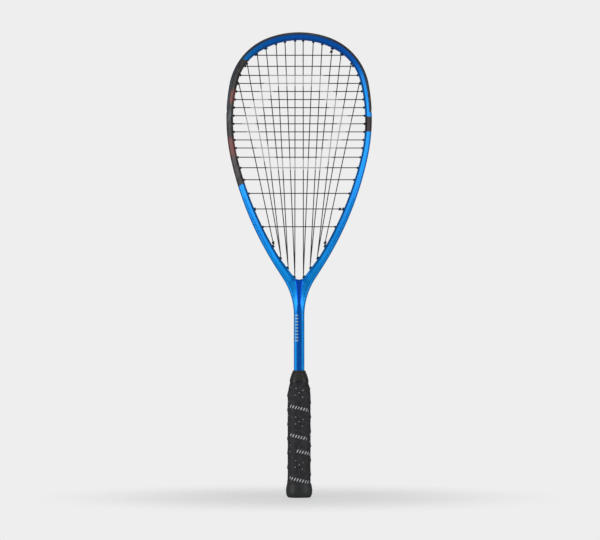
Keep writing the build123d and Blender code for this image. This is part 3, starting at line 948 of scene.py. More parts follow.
@dataclass
class StringPlan:
    """Where every string crosses the bed and the hoop, in mm.

    Attributes:
        layer: Distance of either string from the middle plane at a hole.
        main_first: Centre line to the first main.
        main_pitch: Distance between mains.
        main_stagger: How much further out every second main stands.
        fan: How much more each main leans outwards than the one before.
        inside: A level in the bed below the mains' upper holes.
        cross_top: Level of the first cross.
        top_gaps: First gaps between crosses.
        pitch: Gap between the crosses that are evenly spaced.
        even: Number of such gaps.
        growth: Widening of each gap below them.
        wide: Number of those gaps.
        shared: Cross that shares the outermost main's hole, and main that shares the first cross's knot.
        tied: Cross that the cross string's lower end is tied to.
        throat_levels: Levels of the throat's holes.
        throat_pull: Way of the mains that meet there.
        throat_lean: How much those holes keep to the outline's normal.
    """

    layer: float = 0.7
    main_first: float = 6.0
    main_pitch: float = 14.1
    main_stagger: float = 0.9
    fan: float = 0.03
    inside: float = 593.0
    cross_top: float = 653.1
    top_gaps: Pair = (16.6, 13.6)
    pitch: float = 11.96
    even: int = 9
    growth: float = 1.14
    wide: int = 6
    shared: int = 3
    tied: int = 16
    throat_levels: tuple[float, ...] = (324.9, 338.2, 352.6, 370.3)
    throat_pull: Pair = (0.17, -0.98)
    throat_lean: float = 1.6

    def __post_init__(self) -> None:
        """Finds every hole."""
        gaps = [*self.top_gaps] + [self.pitch] * self.even
        gaps += [self.pitch * self.growth ** power for power in range(1, self.wide + 1)]
        self.levels = [self.cross_top]
        for gap in gaps:
            self.levels.append(self.levels[-1] - gap)
        across, up = (1.0, 0.0), (0.0, 1.0)
        self.crosses = []
        for row, level in enumerate(self.levels):
            shared = row in (self.shared, self.tied)
            layer = 0.0 if shared else -self.layer
            self.crosses.append(StringHole((0.0, level), across, across, 1.0, layer, shared))
        self.mains = []
        for row in range(MAINS_A_SIDE - 1):
            x = self.main_first + self.main_pitch * row + self.main_stagger * (row % 2)
            shared = row == self.shared
            layer = 0.0 if shared else self.layer
            self.mains.append(StringHole((x, self.inside), up, (self.fan * row, 1.0), 1.0, layer, shared))
        self.mains.append(self.crosses[self.shared])
        self.throat = [StringHole((0.0, level), across, self.throat_pull, self.throat_lean, 0.0, True)
                       for level in self.throat_levels]


PLAN = StringPlan()


# ---- repeated pieces ------------------------------------------------------------------------------------
class Repeater:
    """Geometry Nodes tree that stands a small round turned piece on points along their way.

    Inputs: Radius, Length, Flare and Bore of the piece, all in metres.
    """

    def __init__(self, name: str, finish: bpy.types.Material, sides: int = 14) -> None:
        """Builds the tree.

        Args:
            name: Name of the tree.
            finish: Material that it sets.
            sides: Faces round each copy.
        """
        self.tree = bpy.data.node_groups.new(name, "GeometryNodeTree")
        self.sockets: dict[str, str] = {}
        self.tree.interface.new_socket("Geometry", in_out="INPUT", socket_type="NodeSocketGeometry")
        for label in ("Radius", "Length", "Flare", "Bore"):
            socket = self.tree.interface.new_socket(label, in_out="INPUT", socket_type="NodeSocketFloat")
            self.sockets[label] = socket.identifier
        self.tree.interface.new_socket("Geometry", in_out="OUTPUT", socket_type="NodeSocketGeometry")
        source = self.tree.nodes.new("NodeGroupInput")
        profile = self._profile(source, sides)
        turned = self._aligned()
        scatter = self._node("GeometryNodeInstanceOnPoints", {}, Points=source.outputs["Geometry"],
                             Instance=profile, Rotation=turned)
        real = self._node("GeometryNodeRealizeInstances", {}, Geometry=scatter.outputs[0])
        dressed = self._node("GeometryNodeSetMaterial", {}, Geometry=real.outputs[0], Material=finish)
        target = self.tree.nodes.new("NodeGroupOutput")
        self.tree.links.new(dressed.outputs[0], target.inputs[0])

    def _node(self, kind: str, settings: dict[str, Any], **sockets: Any) -> bpy.types.Node:
        """Adds a node and links or sets its inputs."""
        node = self.tree.nodes.new(kind)
        for setting, value in settings.items():
            setattr(node, setting, value)
        for label, value in sockets.items():
            target = node.inputs[label.replace("_", " ")]
            if isinstance(value, bpy.types.NodeSocket):
                self.tree.links.new(value, target)
            else:
                target.default_value = value
        return node

    def _sum(self, operation: str, first: Any, second: Any) -> bpy.types.NodeSocket:
        """One sum on two numbers or sockets."""
        node = self._node("ShaderNodeMath", {"operation": operation})
        for target, value in zip(node.inputs, (first, second)):
            if isinstance(value, bpy.types.NodeSocket):
                self.tree.links.new(value, target)
            else:
                target.default_value = value
        return node.outputs[0]

    def _profile(self, source: bpy.types.Node, sides: int) -> bpy.types.NodeSocket:
        """A turned sleeve along +Z with a flared, rounded tip and an open bore."""
        radius, length = source.outputs["Radius"], source.outputs["Length"]
        flare, bore = source.outputs["Flare"], source.outputs["Bore"]
        stages = [(radius, 0.0), (radius, self._sum("MULTIPLY", length, 0.70)),
                  (self._sum("ADD", radius, flare), self._sum("MULTIPLY", length, 0.84)),
                  (self._sum("ADD", radius, self._sum("MULTIPLY", flare, 0.8)),
                   self._sum("MULTIPLY", length, 0.95)),
                  (self._sum("MULTIPLY", self._sum("ADD", radius, bore), 0.5), length),
                  (bore, self._sum("MULTIPLY", length, 0.94)), (bore, self._sum("MULTIPLY", length, 0.45)),
                  (self._sum("MULTIPLY", bore, 0.9), 0.0)]
        stack = self._node("GeometryNodeJoinGeometry", {})
        for (low_radius, low), (high_radius, high) in zip(stages, stages[1:] + stages[:1]):
            cone = self._node("GeometryNodeMeshCone", {"fill_type": "NONE"}, Vertices=sides,
                              Radius_Bottom=low_radius, Radius_Top=high_radius,
                              Depth=self._sum("SUBTRACT", high, low))
            lift = self._node("ShaderNodeCombineXYZ", {}, Z=low)
            moved = self._node("GeometryNodeTransform", {}, Geometry=cone.outputs["Mesh"],
                               Translation=lift.outputs[0])
            self.tree.links.new(moved.outputs[0], stack.inputs[0])
        return self._node("GeometryNodeMergeByDistance", {}, Geometry=stack.outputs[0],
                          Distance=WELD).outputs[0]

    def _aligned(self) -> bpy.types.NodeSocket:
        """Turns +Z to the points' way."""
        way = self._node("GeometryNodeInputNamedAttribute", {"data_type": "FLOAT_VECTOR"}, Name="way")
        turn = self._node("FunctionNodeAlignRotationToVector", {"axis": "Z"}, Vector=way.outputs[0])
        return turn.outputs[0]

    def make(self, name: str, points: Sequence[Triple], ways: Sequence[Triple], **sizes: float
             ) -> bpy.types.Object:
        """Stands copies on points and returns them as a plain mesh.

        Args:
            name: Name of the result.
            points: Feet of the copies, in mm.
            ways: Which way each one points.
            **sizes: The tree's named inputs, in mm.

        Returns:
            A mesh object at the origin.
        """
        mesh = bpy.data.meshes.new(name + "_points")
        mesh.from_pydata([tuple(value * MM for value in point) for point in points], [], [])
        layer = mesh.attributes.new("way", "FLOAT_VECTOR", "POINT")
        layer.data.foreach_set("vector", [value for way in ways for value in way])
        holder = bpy.data.objects.new(name + "_points", mesh)
        bpy.context.scene.collection.objects.link(holder)
        modifier = holder.modifiers.new("repeat", "NODES")
        modifier.node_group = self.tree
        for label, value in sizes.items():
            modifier[self.sockets[label]] = value * MM
        graph = bpy.context.evaluated_depsgraph_get()
        result = bpy.data.meshes.new_from_object(holder.evaluated_get(graph), depsgraph=graph)
        holder.modifiers.remove(modifier)
        bpy.data.objects.remove(holder)
        piece = bpy.data.objects.new(name, result)
        bpy.context.scene.collection.objects.link(piece)
        finish_mesh(piece, 0.0, 40.0)
        return piece


# ---- bumper guard ---------------------------------------------------------------------------------------
@dataclass
class BumperGuard:
    """Nylon guard over the crown with its row of barrels.

    Attributes:
        step: Distance between its sections.
        barrel: Outer radius of a barrel.
        shared_barrel: The same where two strings pass.
        bore: Radius of a barrel's bore.
        shared_bore: The same where two strings pass.
        end: How far above BUMPER_LOW the guard ends.
        floor: Distance in from the outline to which its ends thin.
        section: (distance in from the outline, distance out from the middle plane) round half its section.
    """

    step: float = 1.6
    barrel: float = 1.6
    shared_barrel: float = 2.35
    bore: float = 1.0
    shared_bore: float = 1.5
    end: float = 0.15
    floor: float = 0.9
    section: tuple[Pair, ...] = (
        (2.15, 0.0), (2.15, 1.9), (1.9, 2.25), (0.5, 2.4), (0.12, 2.7), (0.0, 3.2), (0.0, 4.6), (0.2, 5.5),
        (0.6, 6.3), (1.2, 7.0), (2.0, 7.6), (2.8, 8.05), (3.3, 8.25), (3.62, 8.2), (3.74, 7.95), (3.66, 7.6),
        (3.3, 7.45), (3.25, 4.0), (3.25, 0.0))

    def build(self) -> bpy.types.Object:
        """Makes the guard."""
        whole_line = HEAD.trace(self.step)
        line = [(point, normal) for point, normal in whole_line if point[1] > BUMPER_LOW + 0.4]
        above, below = line[-1], whole_line[len(line)]
        low = BUMPER_LOW + self.end
        share = (above[0][1] - low) / (above[0][1] - below[0][1])
        line.append(((mix(above[0][0], below[0][0], share), low), above[1]))
        stations = [((-x, z), (-nx, nz)) for (x, z), (nx, nz) in reversed(line[1:])] + line
        whole = [(inset, -y) for inset, y in self.section]
        whole += [(inset, y) for inset, y in reversed(self.section[1:-1])]
        rings = []
        for number, ((x, z), (nx, nz)) in enumerate(stations):
            tail = min(number, len(stations) - 1 - number) * self.step
            thin = smooth(tail, -2.0, 6.0)
            levels = [(mix(max(inset, self.floor), inset, thin), y) for inset, y in whole]
            rings.append([(x - nx * level, y, z - nz * level) for level, y in levels])
        pot = MeshPot()
        pot.ring_loft(rings, closed=True, caps=True)
        band = pot.pour("bumper_band", smooth_angle=32.0)
        finish = Moulding("bumper_nylon", (0.019, 0.028, 0.045), (0.045, 0.06, 0.085), 0.42,
                          scuffs=0.35).material()
        repeater = Repeater("barrels", finish)
        holes = [hole for hole in PLAN.crosses if hole.exit[1] > BUMPER_LOW] + PLAN.mains[:-1]
        parts = [band]
        for shared in (False, True):
            radius = self.shared_barrel if shared else self.barrel
            bore = self.shared_bore if shared else self.bore
            feet, ways = barrel_feet([hole for hole in holes if hole.shared == shared])
            parts.append(repeater.make(f"barrels_{shared}", feet, ways, Radius=radius, Length=BARREL_LENGTH,
                                       Flare=0.35, Bore=bore))
        piece = join("bumper_guard_moulding", parts)
        return dress(piece, finish, "bumper_nylon", "bumper_guard")


def barrel_feet(holes: Sequence[StringHole]) -> tuple[list[Triple], list[Triple]]:
    """Feet and ways into the bed of the barrels of some holes, on both sides."""
    feet: list[Triple] = []
    ways: list[Triple] = []
    for hole in holes:
        x = hole.tip[0] + hole.way[0] * BARREL_LENGTH
        z = hole.tip[1] + hole.way[1] * BARREL_LENGTH
        for side in Side:
            feet.append((side.value * x, hole.layer, z))
            ways.append((-side.value * hole.way[0], 0.0, -hole.way[1]))
    return feet, ways


# ---- strings --------------------------------------------------------------------------------------------
@dataclass
class StringBed:
    """Main string and cross string, woven, looped round the hoop and tied off.

    Attributes:
        weave: How far a string leaves the middle plane at a crossing.
        cells: Pieces into which each stretch between crossings is cut.
        sides: Faces round the string.
        bend: Rounding of the string at a grommet's mouth.
        knot_step: Distance of a knot from its hole.
        skip: Distance under which two points of a route are one.
    """

    weave: float = 0.66
    cells: int = 6
    sides: int = 8
    bend: float = 1.6
    knot_step: float = 3.2
    skip: float = 0.12

    def main_line(self, column: int) -> tuple[Pair, Pair, int, Side]:
        """Tip points, row number and side of the main in a column counted from the left."""
        side = Side.LEFT if column < MAINS_A_SIDE else Side.RIGHT
        row = MAINS_A_SIDE - 1 - column if side is Side.LEFT else column - MAINS_A_SIDE
        return PLAN.mains[row].tip, PLAN.throat[row // 2].tip, row, side

    def main_x(self, column: int, level: float) -> float:
        """Where a main stands at a level."""
        top, bottom, _, side = self.main_line(column)
        return side.value * mix(bottom[0], top[0], (level - bottom[1]) / (top[1] - bottom[1]))

    def over(self, column: int, row: int) -> float:
        """Distance behind the middle plane of a main at a crossing; the cross has the opposite."""
        return self.weave if (column + row) % 2 else -self.weave

    def woven(self, start: Vector, end: Vector, knots: Sequence[tuple[float, float]]) -> list[Vector]:
        """Points along a stretch that passes over and under.

        Args:
            start: Its first point.
            end: Its last point.
            knots: (share along, distance behind the middle plane) of each crossing, in order.

        Returns:
            The points.
        """
        stops = [(0.0, start.y)] + list(knots) + [(1.0, end.y)]
        points: list[Vector] = []
        for (low, before), (high, after) in zip(stops, stops[1:]):
            for cell in range(self.cells):
                share = cell / self.cells
                place = start.lerp(end, mix(low, high, share))
                place.y = mix(before, after, (1 - math.cos(math.pi * share)) / 2)
                points.append(place)
        return points + [end.copy()]

    def main_run(self, column: int, upwards: bool, depth: float) -> list[Vector]:
        """A main from its tip at the top to its tip at the throat, or the other way."""
        top, bottom, row, side = self.main_line(column)
        start = Vector((side.value * top[0], PLAN.mains[row].layer, top[1]))
        end = Vector((side.value * bottom[0], depth, bottom[1]))
        knots = []
        for number, level in enumerate(PLAN.levels):
            share = (top[1] - level) / (top[1] - bottom[1])
            if 0.015 < share < 0.985:
                knots.append((share, self.over(column, number)))
        points = self.woven(start, end, knots)
        return points[::-1] if upwards else points

    def cross_run(self, row: int, side: Side, depth: float) -> list[Vector]:
        """A cross from one side to the other, starting on side."""
        tip = PLAN.crosses[row].tip
        start = Vector((-tip[0], depth, tip[1]))
        end = Vector((tip[0], depth, tip[1]))
        knots = []
        for column in range(2 * MAINS_A_SIDE):
            share = (self.main_x(column, tip[1]) - start.x) / (end.x - start.x)
            top, bottom = self.main_line(column)[:2]
            if 0.01 < share < 0.99 and bottom[1] < tip[1] < top[1]:
                knots.append((share, -self.over(column, row)))
        points = self.woven(start, end, knots)
        return points if side is Side.LEFT else points[::-1]

    def loop(self, first: StringHole, second: StringHole, side: Side, depth: float) -> list[Vector]:
        """Out through one hole, along the groove and back through the other."""
        near = [min(range(len(LOOP_LINE)), key=lambda at: math.dist(LOOP_LINE[at], hole.exit))
                for hole in (first, second)]
        step = 3 if near[1] > near[0] else -3
        between = [LOOP_LINE[at] for at in range(near[0] + step, near[1] - step // 3, step)]
        flat = [first.tip, first.exit] + between + [second.exit, second.tip]
        points = [Vector((side.value * x, depth, z)) for x, z in flat]
        return self.rounded(points)

    def rounded(self, points: Sequence[Vector]) -> list[Vector]:
        """Line with its sharp turns eased."""
        result = [points[0]]
        for before, corner, after in zip(points, points[1:], points[2:]):
            turn = (corner - before).angle(after - corner, 0.0)
            if turn < 0.35:
                result.append(corner)
                continue
            cut = min(self.bend, 0.45 * (corner - before).length, 0.45 * (after - corner).length)
            first = corner + (before - corner).normalized() * cut
            last = corner + (after - corner).normalized() * cut
            result += [first, first.lerp(corner, 0.5).lerp(corner.lerp(last, 0.5), 0.5), last]
        return result + [points[-1]]

    def hitch(self, host: Vector, way: Vector, arrive: Vector) -> list[Vector]:
        """Two turns round another string and a short tail.

        Args:
            host: Point on the other string's centre.
            way: Its direction.
            arrive: Where the string comes from.

        Returns:
            Points of the knot.
        """
        aside = (arrive - host)
        aside = (aside - way * aside.dot(way)).normalized()
        up = way.cross(aside)
        turns, per_turn, rise, reach = 2.25, 12, 1.45, 1.42
        points = []
        for number in range(int(turns * per_turn) + 1):
            angle = 2 * math.pi * number / per_turn
            points.append(host + way * (rise * number / per_turn - rise)
                          + (aside * math.cos(angle) + up * math.sin(angle)) * reach)
        heading = (points[-1] - points[-2]).normalized()
        tail = [points[-1] + heading * length - up * 0.12 * length for length in (1.2, 2.6, 4.2)]
        return points + tail

    def half_mains(self, side: Side) -> list[Vector]:
        """The main string from the middle of the top to its knot by the outermost throat grommet."""
        deep = PLAN.layer

        def column(row: int) -> int:
            """Column of a main on this side."""
            return MAINS_A_SIDE - 1 - row if side is Side.LEFT else MAINS_A_SIDE + row

        def over_top(first: int, second: int) -> list[Vector]:
            """Loop round the top between two mains."""
            return self.loop(PLAN.mains[first], PLAN.mains[second], side, deep)

        def under(row: int, depth: float) -> list[Vector]:
            """Loop round the throat between two grommets."""
            return self.loop(PLAN.throat[row], PLAN.throat[row + 1], side, depth)

        points = [Vector((side.value * PLAN.mains[0].exit[0], deep, PLAN.mains[0].exit[1]))]
        points += self.main_run(column(0), False, deep) + under(0, deep)
        points += self.main_run(column(2), True, deep) + over_top(2, 1)
        points += self.main_run(column(1), False, -deep) + under(0, -deep)
        points += self.main_run(column(3), True, -deep) + over_top(3, 4)
        points += self.main_run(column(4), False, deep) + under(2, deep)
        points += self.main_run(column(6), True, deep) + over_top(6, 5)
        points += self.main_run(column(5), False, -deep) + under(2, -deep)
        top, bottom = PLAN.mains[6].tip, PLAN.throat[3].tip
        way = Vector((side.value * (top[0] - bottom[0]), 0.0, top[1] - bottom[1])).normalized()
        host = Vector((side.value * bottom[0], deep, bottom[1])) + way * 3.6
        return points + self.hitch(host, way, points[-1])

    def crosses(self) -> list[Vector]:
        """The cross string from its knot at the top to its knot near the throat."""
        deep = PLAN.layer
        tied = PLAN.mains[PLAN.shared]
        way = Vector((-tied.way[0], 0.0, -tied.way[1]))
        host = Vector((tied.tip[0], 0.0, tied.tip[1])) + way * self.knot_step
        first = self.loop(tied, PLAN.crosses[0], Side.RIGHT, -deep)
        points = self.hitch(host, way, first[0])[::-1] + first
        for row in range(len(PLAN.levels)):
            side = Side.RIGHT if row % 2 == 0 else Side.LEFT
            other = Side.LEFT if side is Side.RIGHT else Side.RIGHT
            points += self.cross_run(row, side, -deep)
            if row + 1 < len(PLAN.levels):
                points += self.loop(PLAN.crosses[row], PLAN.crosses[row + 1], other, -deep)
        points += self.loop(PLAN.crosses[-1], PLAN.crosses[PLAN.tied], Side.RIGHT, deep)
        tip = PLAN.crosses[PLAN.tied].tip
        host = Vector((tip[0] - self.knot_step, 0.0, tip[1]))
        return points + self.hitch(host, Vector((-1.0, 0.0, 0.0)), points[-1])

    def build(self) -> list[bpy.types.Object]:
        """Makes both strings."""
        coat = StringCoat().material()
        left = self.half_mains(Side.LEFT)
        route = left[::-1] + self._bridge() + self.half_mains(Side.RIGHT)
        pieces = []
        for name, points in (("main_string", route), ("cross_string", self.crosses())):
            clean = [points[0]]
            for point in points[1:]:
                if (point - clean[-1]).length > self.skip:
                    clean.append(point)
            tube = tube_along(clean, STRING_DIAMETER / 2, self.sides)
            piece = tube.pour(name + "_woven", smooth_angle=70.0)
            LOG.info("%s: %d points, %.0f mm", name, len(clean),
                     sum((after - before).length for before, after in zip(clean, clean[1:])))
            pieces.append(dress(piece, coat, "string", name))
        return pieces

    @staticmethod
    def _bridge() -> list[Vector]:
        """The loop over the middle of the top."""
        half = [point for point in LOOP_LINE if point[0] < PLAN.mains[0].exit[0] - 1][::2]
        line = [(-x, z) for x, z in reversed(half[1:])] + half
        return [Vector((x, PLAN.layer, z)) for x, z in line]


# ---- handle ---------------------------------------------------------------------------------------------
CORNER_POWER = 9.0


def cut_box(width: float, depth: float, corner: float, ease: float, count: int) -> list[Pair]:
    """Points round a rectangle with cut and eased corners, at even angles.

    Args:
        width: Across X.
        depth: Across Y.
        corner: How much each corner is cut.
        ease: Share of rounding, from 0 for flats to 1 for an ellipse.
        count: Number of points.

    Returns:
        The points, counter-clockwise from +X.
    """
    points = []
    for number in range(count):
        angle = 2 * math.pi * number / count
        x, y = math.cos(angle), math.sin(angle)
        walls = (abs(x) / (width / 2), abs(y) / (depth / 2),
                 (abs(x) + abs(y)) / (width / 2 + depth / 2 - corner))
        soft = sum(wall ** CORNER_POWER for wall in walls) ** (1 / CORNER_POWER)
        reach = 1 / mix(max(walls), soft, ease)
        points.append((x * reach, y * reach))
    return points


@dataclass
class Handle:
    """Outside of the moulded handle at each level, in mm.

    Attributes:
        width: Across the racket.
        depth: Front to back.
        corner: How much each corner is cut.
        shoulder: Level where it starts to narrow.
        top: Its upper end.
        neck: Width, depth and corner there.
    """

    width: float = 31.2
    depth: float = 25.8
    corner: float = 7.0
    shoulder: float = 153.0
    top: float = 182.0
    neck: Triple = (19.4, 20.4, 4.5)

    def ring(self, level: float, grow: float, count: int) -> list[Pair]:
        """Points round the handle at a level, grown outwards."""
        share = min(1.0, max(0.0, (level - self.shoulder) / (self.top - self.shoulder)))
        share = mix(share, smooth(share, 0.0, 1.0), 0.35)
        width = mix(self.width, self.neck[0], share) + 2 * grow
        depth = mix(self.depth, self.neck[1], share) + 2 * grow
        corner = mix(self.corner, self.neck[2], share) + 0.6 * grow
        return cut_box(width, depth, corner, 0.75, count)


@dataclass
class GripWrap:
    """Replacement grip wound in a spiral with overlapping turns and perforations.

    Attributes:
        low: Lower end.
        high: Upper end.
        pitch: Rise of one turn, which is the width of the strip that shows.
        thick: Thickness over the handle between the overlaps.
        overlap: How far an overlap stands proud.
        around: Points round one turn.
        girth: Length of the map along one turn.
        lift: Height at which the perforations stand over the strip.
        clusters: Places of the clusters of perforations along the strip.
        cluster: (along, across) of the perforations in each one.
    """

    low: float = GRIP_LOW
    high: float = 175.5
    pitch: float = 21.2
    thick: float = 1.35
    overlap: float = 0.85
    around: int = 112
    girth: float = 108.0
    lift: float = 0.02
    clusters: tuple[float, ...] = (27.0, 135.0, 189.0, 222.0, 319.0, 380.0, 480.0, 513.0, 540.0, 646.0, 700.0,
                                   729.0, 752.0, 800.0)
    cluster: tuple[Pair, ...] = ((0.0, 0.0), (-5.6, -5.2), (6.4, -4.8), (-6.8, 4.8), (5.6, 5.4))

    def strip_rows(self) -> list[Pair]:
        """(distance up the strip, height over the core) of the rows across the strip."""
        shape = [(0.0, 0.0), (0.25, 0.55), (0.7, 0.86), (1.3, 0.98), (2.2, 1.0), (3.4, 0.86), (4.8, 0.52),
                 (6.2, 0.26), (8.0, 0.12), (11.0, 0.05), (14.5, 0.02), (18.0, 0.04), (20.2, 0.10)]
        rows = [(up, self.thick + self.overlap * share) for up, share in shape]
        return rows + [(self.pitch - 0.12, self.thick + self.overlap * 0.06)]

    def point(self, step: int, up: float, grow: float, handle: Handle) -> Triple:
        """Point on the strip, step points along it and up across it."""
        level = self.low - self.pitch + self.pitch * step / self.around + up
        level = min(self.high, max(self.low, level))
        wave = 0.10 * math.sin(step * 0.37) * math.sin(step * 0.113 + up * 0.5)
        grow = mix(grow, min(grow, self.thick), smooth(level, self.high - 9.0, self.high - 4.0))
        ring = handle.ring(level, grow + wave, self.around)
        x, y = ring[(self.around // 2 - step) % self.around]
        return (x, y, level)

    def build(self, handle: Handle) -> bpy.types.Object:
        """Makes the wrap.

        Args:
            handle: The handle that it is wound on.

        Returns:
            The piece.
        """
        rows = self.strip_rows()
        turns = math.ceil((self.high - self.low) / self.pitch) + 1
        steps = turns * self.around
        pot = MeshPot()
        uvs: list[Pair] = []
        for step in range(steps + 1):
            for up, grow in rows:
                pot.points.append(self.point(step, up, grow, handle))
                uvs.append((step * (self.girth / self.around), up))
        high = len(rows)
        for step in range(steps):
            for row in range(high - 1):
                first = step * high + row
                pot.faces.append((first, first + high, first + high + 1, first + 1))
            if step + self.around < steps:
                top = step * high + high - 1
                upper = (step + self.around) * high
                pot.faces.append((top, top + high, upper + high, upper))
        piece = self._pour(pot, uvs)
        skin = GripSkin().material(self.pitch)
        rim = Moulding("hole_rim", (0.8, 0.8, 0.8), (0.8, 0.8, 0.8), 0.5).material()
        dress(self._perforations(handle, rim), rim, "grip")
        return dress(piece, skin, "grip", "grip_wrap")

    def _pour(self, pot: MeshPot, uvs: Sequence[Pair]) -> bpy.types.Object:
        """Makes the mesh with its map, clears what the ends have flattened and closes them."""
        mesh = bpy.data.meshes.new("grip_wound")
        mesh.from_pydata([(x * MM, y * MM, z * MM) for x, y, z in pot.points], [], pot.faces)
        chart = mesh.uv_layers.new(name="strip")
        high = len(self.strip_rows())
        for face in mesh.polygons:
            seam = any(vertex % high == high - 1 for vertex in face.vertices) and any(
                vertex % high == 0 for vertex in face.vertices)
            for loop in face.loop_indices:
                along, across = uvs[mesh.loops[loop].vertex_index]
                chart.data[loop].uv = (along, self.pitch if seam else across)
        piece = bpy.data.objects.new("grip_wound", mesh)
        bpy.context.scene.collection.objects.link(piece)
        work = bmesh.new()
        work.from_mesh(mesh)
        for level in (self.low, self.high):
            flat = [face for face in work.faces
                    if all(abs(vertex.co.z - level * MM) < 1e-7 for vertex in face.verts)]
            bmesh.ops.delete(work, geom=flat, context="FACES")
        bmesh.ops.remove_doubles(work, verts=work.verts, dist=WELD)
        bmesh.ops.dissolve_degenerate(work, dist=WELD / 5, edges=work.edges)
        bmesh.ops.holes_fill(work, edges=[edge for edge in work.edges if edge.is_boundary], sides=0)
        work.to_mesh(mesh)
        work.free()
        finish_mesh(piece, 0.0, 40.0)
        return piece

    def _perforations(self, handle: Handle, finish: bpy.types.Material) -> bpy.types.Object:
        """Clusters of small holes with pale rims along the middle of the strip."""
        points: list[Triple] = []
        ways: list[Triple] = []
        grow = self.thick + self.lift
        for place in self.clusters:
            for along, across in self.cluster:
                step = int(round((place + along) / (self.girth / self.around)))
                up = self.pitch * 0.56 + across
                here = Vector(self.point(step, up, grow, handle))
                if not self.low + 1.5 < here.z < self.high - 6.5:
                    continue
                beside = Vector(self.point(step + 2, up, grow, handle))
                above = Vector(self.point(step, up + 1.0, grow, handle))
                way = (beside - here).cross(above - here).normalized()
                points.append(tuple(here - way * 0.35))
                ways.append(tuple(way))
        return Repeater("perforations", finish, 10).make(
            "grip_perforations", points, ways, Radius=0.62, Length=0.46, Flare=0.06, Bore=0.36)


@dataclass
class LevelledSleeve:
    """Sleeve whose section follows given levels, closed at both ends.

    Attributes:
        name: The piece's name.
    """

    name: str

    def build(self, outside: Sequence[tuple[float, list[Pair]]], inside: Sequence[tuple[float, list[Pair]]]
              ) -> bpy.types.Object:
        """Makes the sleeve.

        Args:
            outside: (level, ring) upwards on the outside.
            inside: (level, ring) downwards on the inside.

        Returns:
            The new object.
        """
        rings = [[(x, y, level) for x, y in ring] for level, ring in [*outside, *inside, outside[0]]]
        pot = MeshPot()
        pot.ring_loft(rings, closed=True)
        return pot.pour(self.name, weld=0.002, smooth_angle=38.0)


